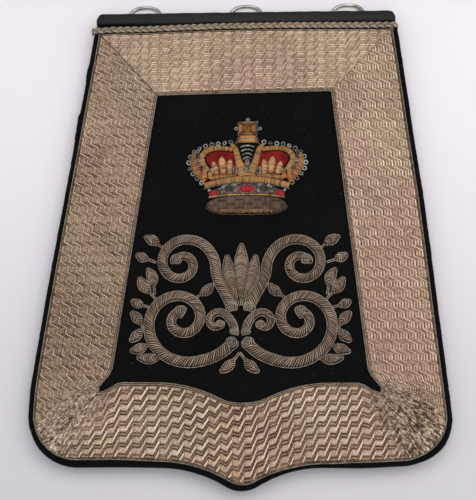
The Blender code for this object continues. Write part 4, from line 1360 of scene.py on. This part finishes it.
def hoop(lean, apex, half_thick, radial, steps=7, sides=4, shade=1.0):
    """A thread bent over a strand. Its run along the strand is in metres, its width and height are 1.

    Its flanks and underside are marked for painted shade, up to the shade, standing in for the shadow in the gaps
    between such threads.
    """
    verts, faces, runs, sunk = [], [], [], []
    for i in range(steps + 1):
        c, s = math.cos(math.pi * i / steps), math.sin(math.pi * i / steps)
        y, z = -math.copysign(abs(c) ** 0.75, c), max(0.0, s) ** 0.75
        taper = 0.55 if i in (0, steps) else 1.0
        for k in range(sides):
            a = 2 * math.pi * k / sides
            swell = 1 + radial * math.sin(a) * taper
            x = -lean * c - apex * abs(c) + half_thick * 1.25 * math.cos(a) * taper
            verts.append((x, y * swell, z * swell))
            runs.append(0.0026 * math.pi * i / steps)
            # Painted shade: the flanks and underside are marked darker than the top
            sunk.append(shade * (1 - max(0.0, math.sin(a))))
    for i in range(steps):
        faces += ring_faces(i, i + 1, sides)
    faces += [tuple(range(sides)), tuple(range(steps * sides, (steps + 1) * sides))]
    return verts, faces, runs, sunk


def hoop_row(path, halves, tops, shift=0.0, way=1):
    """A row for laying hoops over a strand: places, half widths and heights in millimetres."""
    return [(Vector((shift + way * x * MM, y * MM, FOOT_Z)), (1.0, half * MM, top * MM))
            for (x, y), half, top in zip(path, halves, tops)]


OUTLINE_LEVEL = 0.0006


def side_line(path, halves, out, way):
    """A row that runs up one side of a strand, round its end and down the other."""
    sides = ([], [])
    for i, (x, y) in enumerate(path):
        (ax, ay), (bx, by) = path[max(0, i - 1)], path[min(len(path) - 1, i + 1)]
        length = math.dist((ax, ay), (bx, by))
        nx, ny = -(by - ay) / length, (bx - ax) / length
        for row, hand in zip(sides, (1, -1)):
            off = hand * (halves[i] + out)
            spot = Vector((way * (x + nx * off) * MM, (y + ny * off) * MM, FOOT_Z + OUTLINE_LEVEL))
            row.append((spot, FULL_SIZE))
    return sides[0] + sides[1][::-1]


silver_purl = metal_thread("silver_purl", (0.260, 0.170, 0.115), (0.95, 0.715, 0.540), 0.34, 0.45, 0.0004)
outline_cord = metal_thread("outline_cord", (0.20, 0.160, 0.125), (0.62, 0.530, 0.430), 0.40, 0.45, 0.0005)
string_padding, tree, shader = new_material("string_padding", 0.85)
fibre = cloudy(tree, object_place(tree), 900.0, 3.0)
color_by(tree, shader, fibre, [(0.30, (0.018, 0.010, 0.006)), (0.70, (0.060, 0.036, 0.024))])
bump(tree, shader, fibre, 0.0003, 0.6)

slanting_purl = hoop(0.0024, 0.0, 0.00042, 0.19)
chevron_purl = hoop(0.0, 0.0020, 0.00036, 0.19, 8)
thin_grain = bead(0.00095, 0.00036, 0.00040, 0.00016)
strands, leaves, outlines, discs = [], [], [], []
# A strand stands higher by this share of its half width, here and where it is widest, and by a rise
DOME = 0.46
PURL_RISE = 0.45
# How far the purl stays inside the strand's edge, and how far the outline cords run outside it
PURL_INSET = 0.05
STEM_OUTLINE = 0.75
LEAF_OUTLINE = 0.62
# Where a disc's middle is, from the end of its stem, as a share of the disc's width
DISC_PLACE = 0.4


def purl_row(path, halves, crest, way):
    """A row of purl over a strand whose greatest half width is the crest."""
    tops = [DOME * (crest + half) + PURL_RISE for half in halves]
    return hoop_row(path, [half - PURL_INSET for half in halves], tops, 0.0, way)


def wound_disc(x, y, reach, base, way):
    """A row that winds a cord from the rim of a low dome up to its middle. Sizes in millimetres."""
    coil = []
    for step in range(54):
        turn, out = 2 * math.pi * step / 20, reach * (1 - step / 56)
        rise = base + DOME * math.sqrt(max(0.0, reach ** 2 - out ** 2))
        spot = (way * (x + out * math.cos(turn)) * MM, (y + out * math.sin(turn)) * MM, FOOT_Z + rise * MM)
        coil.append((Vector(spot), FULL_SIZE))
    return coil


for name, *shape in SCROLLS:
    path, lengths, halves = volute_path(*shape)
    crest, bulb = max(halves), shape[-1]
    bare = [i for i, length in enumerate(lengths) if 0.75 * bulb < length < lengths[-1] - 0.95 * bulb]
    part = slice(bare[0], bare[-1] + 1)
    for way in (-1, 1):
        strands.append(purl_row(path[part], halves[part], crest, way))
        ring = side_line(path, halves, STEM_OUTLINE, way)
        outlines.append(ring + ring[:1])
        for at in (DISC_PLACE * bulb, lengths[-1] - DISC_PLACE * bulb):
            spot, _ = along_line(path, at, lengths)
            discs.append(wound_disc(*spot, bulb / 2 + 0.5, DOME * crest + 0.25, way))
for name, *shape in LEAVES:
    path, halves = leaf_path(*shape)
    # The cords of its outline run on together behind the leaf as a stalk that meets its stem
    root = math.radians(shape[2] + 6 * math.copysign(1, shape[4]))
    stalk = [(path[0][0] - reach * math.cos(root), path[0][1] - reach * math.sin(root)) for reach in (6.4, 2.2)]
    for way in ((1,) if name == "crest" else (-1, 1)):
        leaves.append(purl_row(path, halves, max(halves), way))
        outlines.append(side_line(stalk + path, [0.0, 0.0] + halves, LEAF_OUTLINE, way))
for name, rows, unit, spacing, paint, wobble in (
    ("scroll_purls", strands, slanting_purl, 0.00172, silver_purl, 0.05),
    ("leaf_purls", leaves, chevron_purl, 0.00140, silver_purl, 0.04),
    ("scroll_outline", outlines, thin_grain, 0.00150, outline_cord, 0.08),
    ("scroll_discs", discs, cord_grain, 0.00115, outline_cord, 0.08),
):
    settle(lay(name, rows, unit, spacing, paint, wobble, len(name)), "body", "silver_cord")
for name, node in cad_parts.items():
    if name.startswith(("scroll_", "leaf_")):
        node.material_slots[0].material = string_padding


# Crown. Raised embroidery over card and felt: gilt satin stitch on the arches, band and cross,
# crimson velvet caps, foiled stones, loops of bright silver wire for pearls and a silver ermine roll.
CROWN_X = 0.0031
gilt_thread = metal_thread("gilt_thread", (0.150, 0.064, 0.018), (0.70, 0.392, 0.142), 0.40, 0.40, 0.0004)
amber_thread = metal_thread("amber_thread", (0.140, 0.046, 0.011), (0.60, 0.280, 0.070), 0.42, 0.40, 0.0004)
pale_gilt = metal_thread("pale_gilt", (0.180, 0.092, 0.038), (0.84, 0.540, 0.250), 0.42, 0.35, 0.0004)
silver_wire = metal_thread("silver_wire", (0.040, 0.040, 0.036), (0.50, 0.485, 0.445), 0.30, 0.75, 0.0005)
ermine_thread = metal_thread("ermine_thread", (0.056, 0.034, 0.022), (0.212, 0.139, 0.094), 0.45, 0.40, 0.0004)
ruby_thread = metal_thread("ruby_thread", (0.220, 0.003, 0.006), (0.62, 0.012, 0.022), 0.50, 0.0, 0.0004)
red_silk = metal_thread("red_silk", (0.120, 0.010, 0.008), (0.40, 0.030, 0.022), 0.60, 0.0, 0.0004)
dark_foil = metal_thread("dark_foil", (0.018, 0.020, 0.016), (0.085, 0.090, 0.075), 0.45, 0.40, 0.0006)
crimson_velvet, tree, shader = new_material(
    "crimson_velvet", 0.90, Specular_IOR_Level=0.08, Sheen_Weight=0.12, Sheen_Roughness=0.40,
    Sheen_Tint=(0.90, 0.30, 0.25, 1.0))
place = object_place(tree)
color_by(tree, shader, cloudy(tree, place, 120.0, 3.0), [
    (0.35, (0.098, 0.006, 0.006)), (0.65, (0.210, 0.014, 0.011))])
bump(tree, shader, cloudy(tree, place, 1800.0, 2.0), 0.0003, 0.6)


def cushion(name, outline, height, edge, paint, slot, *nodes):
    """A flat pad with a round edge, in millimetres. Its outline is taken from the crown's middle line."""
    high = TRIM + height * MM
    round_by = edge * MM
    curve = bpy.data.curves.new(name, "CURVE")
    curve.dimensions = "2D"
    curve.fill_mode = "BOTH"
    curve.extrude = (high - TRIM) / 2 - round_by
    curve.bevel_depth = round_by
    curve.bevel_resolution = 2
    curve.offset = -round_by
    spline = curve.splines.new("POLY")
    spline.points.add(len(outline) - 1)
    for point, (x, y) in zip(spline.points, outline):
        point.co = (CROWN_X + x * MM, y * MM, 0.0, 1.0)
    spline.use_cyclic_u = True
    holder = hold("holder", curve)
    bpy.context.view_layer.update()
    mesh = bpy.data.meshes.new_from_object(holder.evaluated_get(bpy.context.evaluated_depsgraph_get()))
    bpy.data.objects.remove(holder, do_unlink=True)
    shell = bmesh.new()
    shell.from_mesh(mesh)
    bmesh.ops.remove_doubles(shell, verts=shell.verts, dist=1e-6)
    verts = [vert.co + Vector((0.0, 0.0, (TRIM + high) / 2)) for vert in shell.verts]
    shell.verts.index_update()
    faces = [tuple(vert.index for vert in face.verts) for face in shell.faces]
    shell.free()
    return settle(add_piece(name, verts, faces, paint), "body", slot, *nodes)


def flipped(points, way):
    """Points of the right-hand side, or the same on the left."""
    return [flip(point, way) for point in points]


def both_sides(half):
    """An outline from its right half, which runs from top to bottom."""
    return half + flipped(half[::-1], -1)


CROSS = [(6.6, 83.2), (7.0, 78.4), (6.3, 73.2)]
ORB = [(6.3, 72.8), (7.0, 70.0), (8.2, 67.2)]
CENTRE = [(11.0, 66.3), (11.4, 64.6), (8.2, 58.0), (6.9, 52.0), (7.8, 48.0), (8.2, 41.9)]
ERMINE = [(13.0, 25.4), (25.0, 23.0), (28.0, 20.0), (28.2, 17.6), (25.6, 14.8), (20.0, 13.4)]
CAP = [
    (9.6, 59.2), (17.4, 60.6), (24.2, 60.4), (30.0, 57.6), (29.8, 53.6),
    (27.2, 49.8), (25.0, 45.8), (23.6, 42.2), (9.0, 42.2), (7.9, 50.0)]
across = [step / 12 - 1 for step in range(25)]


def arched(half, height, sag):
    """Points across the crown, highest in the middle and lower by the sag at both ends."""
    return [(half * t, height - sag * t * t) for t in across]


for name, outline, height, edge, paint, slot in (
    ("cross", both_sides(CROSS), 1.5, 0.5, string_padding, "gold_thread"),
    ("orb", both_sides(ORB), 1.5, 0.5, string_padding, "gold_thread"),
    ("centre", both_sides(CENTRE), 1.2, 0.5, black_velvet, "gold_thread"),
    ("ermine", both_sides(ERMINE), 2.0, 0.5, string_padding, "silver_cord"),
    ("band", arched(30.2, 41.4, 5.2) + arched(30.2, 36.4, 4.6)[::-1], 1.4, 0.4, string_padding, "gold_thread"),
    ("circlet", arched(27.2, 35.8, 5.6) + arched(27.2, 26.2, 1.9)[::-1], 1.3, 0.5, dark_foil, "silver_cord"),
):
    cushion("crown_pad_" + name, outline, height, edge, paint, slot, "crown_" + name)

# Strands of satin stitch, on the right-hand side or across the middle
SATIN = [
    # paint, whether it is on both sides, points of its middle line as (x, y, half width, height)
    (gilt_thread, True, [
        (11.0, 62.0, 1.5, 2.0), (16.0, 62.9, 1.8, 2.1), (23.2, 63.0, 1.9, 2.2), (29.4, 61.2, 2.0, 2.2),
        (32.8, 57.2, 2.0, 2.2), (32.4, 52.6, 2.0, 2.2), (30.0, 48.4, 1.8, 2.1), (27.8, 46.0, 1.5, 1.9)]),
    (gilt_thread, True, [
        (11.4, 65.6, 1.2, 2.3), (9.0, 63.0, 2.0, 2.7), (7.4, 58.0, 2.2, 2.7), (6.2, 53.0, 2.5, 2.7),
        (4.6, 48.6, 3.4, 2.6), (3.2, 45.0, 4.0, 2.5), (2.6, 41.8, 4.6, 2.2)]),
    (amber_thread, True, [
        (38.2, 59.0, 1.2, 1.9), (39.2, 54.6, 2.1, 2.1), (38.2, 49.2, 2.3, 2.1), (35.2, 44.0, 2.4, 2.1),
        (31.8, 39.6, 2.2, 1.9), (30.4, 37.2, 1.2, 1.8)]),
    (gilt_thread, True, [(30.2, 47.0, 1.6, 2.1), (30.8, 43.6, 2.0, 2.1), (30.2, 40.2, 1.8, 2.0)]),
    (gilt_thread, True, [(26.9, 45.6, 0.8, 2.2), (26.6, 42.6, 1.9, 2.3), (26.4, 39.8, 1.6, 2.1)]),
    (gilt_thread, True, [
        (8.0, 42.3, 1.2, 2.0), (14.0, 42.1, 1.6, 2.1), (20.0, 41.3, 1.7, 2.1), (26.0, 40.0, 1.6, 2.0)]),
    (ermine_thread, False, [(26.6 * t, 31.0 - 3.9 * t * t, 4.3 - 1.9 * t * t, 1.7) for t in across]),
    (gilt_thread, False, [(30.2 * t, 39.1 - 4.9 * t * t, 2.5 - 0.4 * abs(t), 2.4) for t in across]),
    (gilt_thread, False, [(0.0, 72.6, 6.2, 2.2), (0.0, 70.4, 6.9, 2.2)]),
    (gilt_thread, False, [(0.0, 69.4, 7.2, 2.2), (0.0, 67.2, 8.2, 2.2)]),
    (pale_gilt, True, [
        (12.2, 42.8, 1.7, 3.4), (12.4, 46.0, 2.4, 3.7), (12.8, 49.2, 2.5, 3.7), (12.3, 51.8, 1.9, 3.3),
        (12.1, 53.6, 0.8, 2.6)]),
    (pale_gilt, True, [
        (17.0, 43.2, 1.8, 3.5), (17.4, 47.0, 2.7, 3.9), (17.9, 50.8, 2.8, 3.9), (18.3, 53.8, 2.0, 3.4),
        (18.5, 55.8, 0.8, 2.6)]),
    (pale_gilt, True, [
        (21.8, 42.8, 1.6, 3.3), (22.4, 45.4, 2.2, 3.6), (23.3, 48.2, 2.3, 3.6), (24.0, 50.4, 1.7, 3.1),
        (24.4, 52.0, 0.8, 2.6)]),
    (amber_thread, False, [(0.0, 78.6, 0.5, 2.1), (0.0, 82.9, 4.4, 2.1)]),
    (amber_thread, False, [(0.0, 78.0, 0.5, 2.1), (0.0, 73.6, 4.4, 2.1)]),
    (amber_thread, True, [(0.4, 78.3, 0.5, 2.1), (6.0, 78.3, 4.4, 2.1)]),
    (ruby_thread, False, [
        (-6.2, 31.6, 0.3, 2.1), (-3.4, 31.6, 2.3, 2.6), (0.0, 31.7, 2.8, 2.8), (3.4, 31.6, 2.3, 2.6),
        (6.2, 31.6, 0.3, 2.1)]),
    (ruby_thread, True, [
        (20.8, 29.0, 1.0, 1.9), (22.8, 28.6, 2.2, 2.3), (25.0, 28.0, 2.1, 2.3), (26.8, 27.4, 0.9, 1.9)]),
    (dark_foil, True, [
        (9.4, 31.4, 1.0, 1.8), (11.4, 31.3, 2.2, 2.3), (13.6, 31.1, 2.1, 2.3), (15.4, 30.7, 0.9, 1.8)]),
]


def satin_row(line, way=1):
    """A row for laying satin stitch along points of (x, y, half width, height) in millimetres."""
    return hoop_row([point[:2] for point in line], [point[2] for point in line],
                    [point[3] for point in line], CROWN_X, way)


satin_hoop = hoop(0.0, 0.0, 0.00027, 0.11, 6, shade=0.25)
by_paint = {}
for paint, both, points in SATIN:
    for way in ((-1, 1) if both else (1,)):
        by_paint.setdefault(paint, []).append(satin_row(smooth(points, 4), way))
# The ermine roll is basket stitch: blocks of upright threads, every other pair of columns half a
# block lower. Distance from the middle and height of the roll's upper and lower edge
ROLL_HIGH = [(0.0, 26.6), (14.0, 25.6), (22.0, 24.0), (25.4, 22.4), (27.4, 20.4), (28.4, 18.0)]
ROLL_LOW = [(0.0, 12.8), (15.0, 13.1), (22.0, 14.0), (26.0, 15.8), (28.4, 18.0)]
for column in range(-9, 10):
    for block in range(-1, 3):
        x = column * 3.2
        middle = 23.4 - 6.4 * block - (3.2 if column // 2 % 2 else 0.0) - 0.0028 * x * x
        line = []
        for at in (x - 1.5, x, x + 1.5):
            high = min(middle + 3.1, between(abs(at), ROLL_HIGH))
            low = max(middle - 3.1, between(abs(at), ROLL_LOW))
            line.append((at, (high + low) / 2, (high - low) / 2, 2.9))
        if min(point[2] for point in line) > 0.5:
            by_paint[ermine_thread].append(satin_row(line))
SATIN_SLOTS = {ermine_thread: "silver_cord", dark_foil: "silver_cord", ruby_thread: "red_velvet"}
for paint, rows in by_paint.items():
    name = "crown_" + paint.name
    leaves_too = ("crown_leaves_left", "crown_leaves_right") if paint == pale_gilt else ()
    satin = lay(name, rows, satin_hoop, 0.00050, paint, 0.03, len(name))
    settle(satin, "body", SATIN_SLOTS.get(paint, "gold_thread"), *leaves_too)


def wire_loop(major, minor, around=10, sides=6):
    """A small closed loop of wire lying flat."""
    path = [Vector((major * math.cos(2 * math.pi * k / around), major * math.sin(2 * math.pi * k / around), 0.0))
            for k in range(around)]
    return sweep(path, oval(minor, minor, sides), Vector((0, 0, 1)), True)


def crown_row(points, level):
    """A row on the crown at a level above the velvet, from points in millimetres."""
    return [(Vector((CROWN_X + x * MM, y * MM, FOOT_Z + level * MM)), FULL_SIZE) for x, y in points]


PEARLS = [
    (12.0, 67.6), (19.0, 66.6), (26.4, 65.8), (32.8, 63.6), (38.2, 60.4),
    (41.7, 55.0), (42.1, 49.8), (40.0, 44.8), (36.4, 40.2), (32.6, 36.4)]
INNER_BEADS = [(35.9, 60.6), (36.0, 55.6), (34.9, 50.6), (33.4, 46.8)]
SMALL_LOOPS = [
    (25.6, 45.6), (24.6, 44.2), (8.4, 34.0), (8.2, 29.6), (17.2, 32.4), (17.6, 28.8),
    (19.2, 31.0), (27.0, 30.0), (15.4, 33.6), (10.2, 34.2)]
# Single loops at the ends of the cross and on the centre, with the level of each
CROSS_LOOPS = [(0.0, 85.0, 0.9), (-8.6, 78.3, 0.9), (8.6, 78.3, 0.9), (0.0, 52.4, 2.6), (0.0, 50.6, 2.6)]
pearl_loop = wire_loop(0.00138, 0.00064)
inner_loop = wire_loop(0.00108, 0.00054)
small_loop = wire_loop(0.00070, 0.00042, 8)
inner_rows, small_rows = [], []
for way, name in ((-1, "left"), (1, "right")):
    line = smooth(flipped(PEARLS, way), 8)
    spacing = line_lengths(line)[-1] / 12.4 * MM
    pearls = lay("pearl_loops_" + name, [crown_row(line, 1.2)], pearl_loop, spacing, silver_wire, 0.55, 3 + way)
    settle(pearls, "body", "pearl", "crown_pearls_" + name)
    inner_rows.append(crown_row(smooth(flipped(INNER_BEADS, way), 8), 1.0))
    for x, y in SMALL_LOOPS:
        small_rows.append(crown_row([(way * x, y), (way * x + 0.4, y + 0.4)], 2.6))
    cushion("crown_cap_pillow_" + name, flipped(CAP, way), 1.5, 0.6, crimson_velvet, "red_velvet",
            "crown_cap_" + name)
cross_loops = [crown_row([(x, y), (x + 0.4, y)], rise) for x, y, rise in CROSS_LOOPS]

# Silver wire laid singly: outlines of the cross, the stones and the band, and the bars of the centre
wires = [
    crown_row([(6.9, 83.6), (7.4, 78.4), (6.6, 73.0), (-6.6, 73.0), (-7.4, 78.4), (-6.9, 83.6), (6.9, 83.6)], 0.8),
    crown_row([(6.6, 72.9), (8.6, 66.9)], 0.8),
    crown_row([(-6.6, 72.9), (-8.6, 66.9)], 0.8),
    crown_row([(-6.8, 69.9), (6.8, 69.9)], 2.1),
    crown_row(arched(30.0, 35.9, 4.3), 1.8),
    crown_row([(-6.8, 31.6), (-3.4, 34.4), (0.0, 35.0), (3.4, 34.4), (6.8, 31.6),
               (3.4, 28.8), (0.0, 28.4), (-3.4, 28.8), (-6.8, 31.6)], 1.7),
]
for way in (-1, 1):
    wires.append(crown_row([(way * (12.4 + 4.0 * math.cos(a)), 31.2 + 3.0 * math.sin(a))
                            for a in (2 * math.pi * k / 16 for k in range(17))], 1.7))
bars = [crown_row([(half * t / 4, y - 1.1 * (t / 4) ** 2) for t in range(-4, 5)], 2.2)
        for y, half in ((64.6, 4.6), (61.6, 3.8), (58.6, 3.1), (55.6, 2.5))]
bars += [crown_row([(side, 43.0), (side, 47.4)], 3.2) for side in (-9.4, -7.6, 7.6, 9.4)]
# Loose ends of red silk between the gilt leaves and the band
RED_ENDS = [
    (10.0, 44.2), (10.2, 49.0), (14.6, 46.8), (14.8, 43.4), (14.6, 50.2), (19.8, 46.4), (19.6, 43.2), (20.4, 49.8),
    (24.4, 43.0), (26.8, 46.6), (28.6, 42.4), (32.4, 43.4), (34.6, 46.6), (33.2, 39.4), (36.8, 49.2), (28.8, 39.6)]
red_threads = [crown_row([(way * x, y), (way * x + 0.6, y - 0.5)], 3.6 if x < 24 else 2.2)
               for way in (-1, 1) for x, y in RED_ENDS]
star = [crown_row([(0.0, 45.6), (2.2 * math.cos(a), 45.6 + 2.2 * math.sin(a))], 3.2)
        for a in (math.pi / 4 * k for k in range(8))]
circlet_cord = [crown_row(arched(26.6, 27.3, 1.9), 1.7)]
cross_ends = [crown_row([(a * way, b), (c * way, d)], 2.1)
              for a, b, c, d in ((5.4, 82.4, 1.6, 79.6), (5.0, 74.9, 2.4, 76.6)) for way in (-1, 1)]
zigzag = [crown_row([(x, 13.2 + (1.9 if x % 2 else 0.0) + 0.0016 * x ** 2) for x in range(-18, 19)], 3.4)]
rim = both_sides([(x, y + 0.4) for x, y in ROLL_HIGH] + [(x, y - 0.4) for x, y in ROLL_LOW[::-1]])
roll_edge = [crown_row([(x * 1.02, y) for x, y in rim + rim[:1]], 0.5)]
bar_grain = bead(0.00075, 0.00078, 0.00070, 0.0003)
silk_grain = bead(0.0009, 0.00036, 0.00036, 0.0003)
star_grain = bead(0.0006, 0.00040, 0.00040, 0.0)
circlet_grain = bead(0.0008, 0.00050, 0.00050, 0.0003)
cross_grain = bead(0.0008, 0.00030, 0.00034, 0.0002)
zigzag_grain = bead(0.0010, 0.00034, 0.0005, 0.0)
for name, rows, unit, spacing, paint, wobble, seed, slot in (
    ("crown_small_loops", small_rows, small_loop, 0.0023, silver_wire, 0.35, 5, "pearl"),
    ("crown_inner_loops", inner_rows, inner_loop, 0.0029, silver_wire, 0.45, 12, "pearl"),
    ("crown_cross_loops", cross_loops, inner_loop, 0.0023, silver_wire, 0.10, 6, "pearl"),
    ("crown_wires", wires, wire_grain, 0.0016, silver_wire, 0.10, 7, "pearl"),
    ("crown_bars", bars, bar_grain, 0.00090, silver_wire, 0.08, 8, "pearl"),
    ("crown_red_threads", red_threads, silk_grain, 0.0009, ruby_thread, 0.70, 13, "red_velvet"),
    ("crown_star", star, star_grain, 0.0010, silver_wire, 0.08, 9, "pearl"),
    ("crown_circlet_cord", circlet_cord, circlet_grain, 0.0009, gilt_thread, 0.15, 14, "gold_thread"),
    ("crown_cross_threads", cross_ends, cross_grain, 0.0013, red_silk, 0.45, 15, "red_velvet"),
    ("crown_zigzag", zigzag, zigzag_grain, 0.0017, gilt_thread, 0.45, 10, "gold_thread"),
    ("ermine_outline", roll_edge, thin_grain, 0.0015, ermine_thread, 0.08, 11, "silver_cord"),
):
    settle(lay(name, rows, unit, spacing, paint, wobble, seed), "body", slot)
for name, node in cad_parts.items():
    if name.startswith(("crown_arch_", "crown_side_")):
        node.material_slots[0].material = string_padding
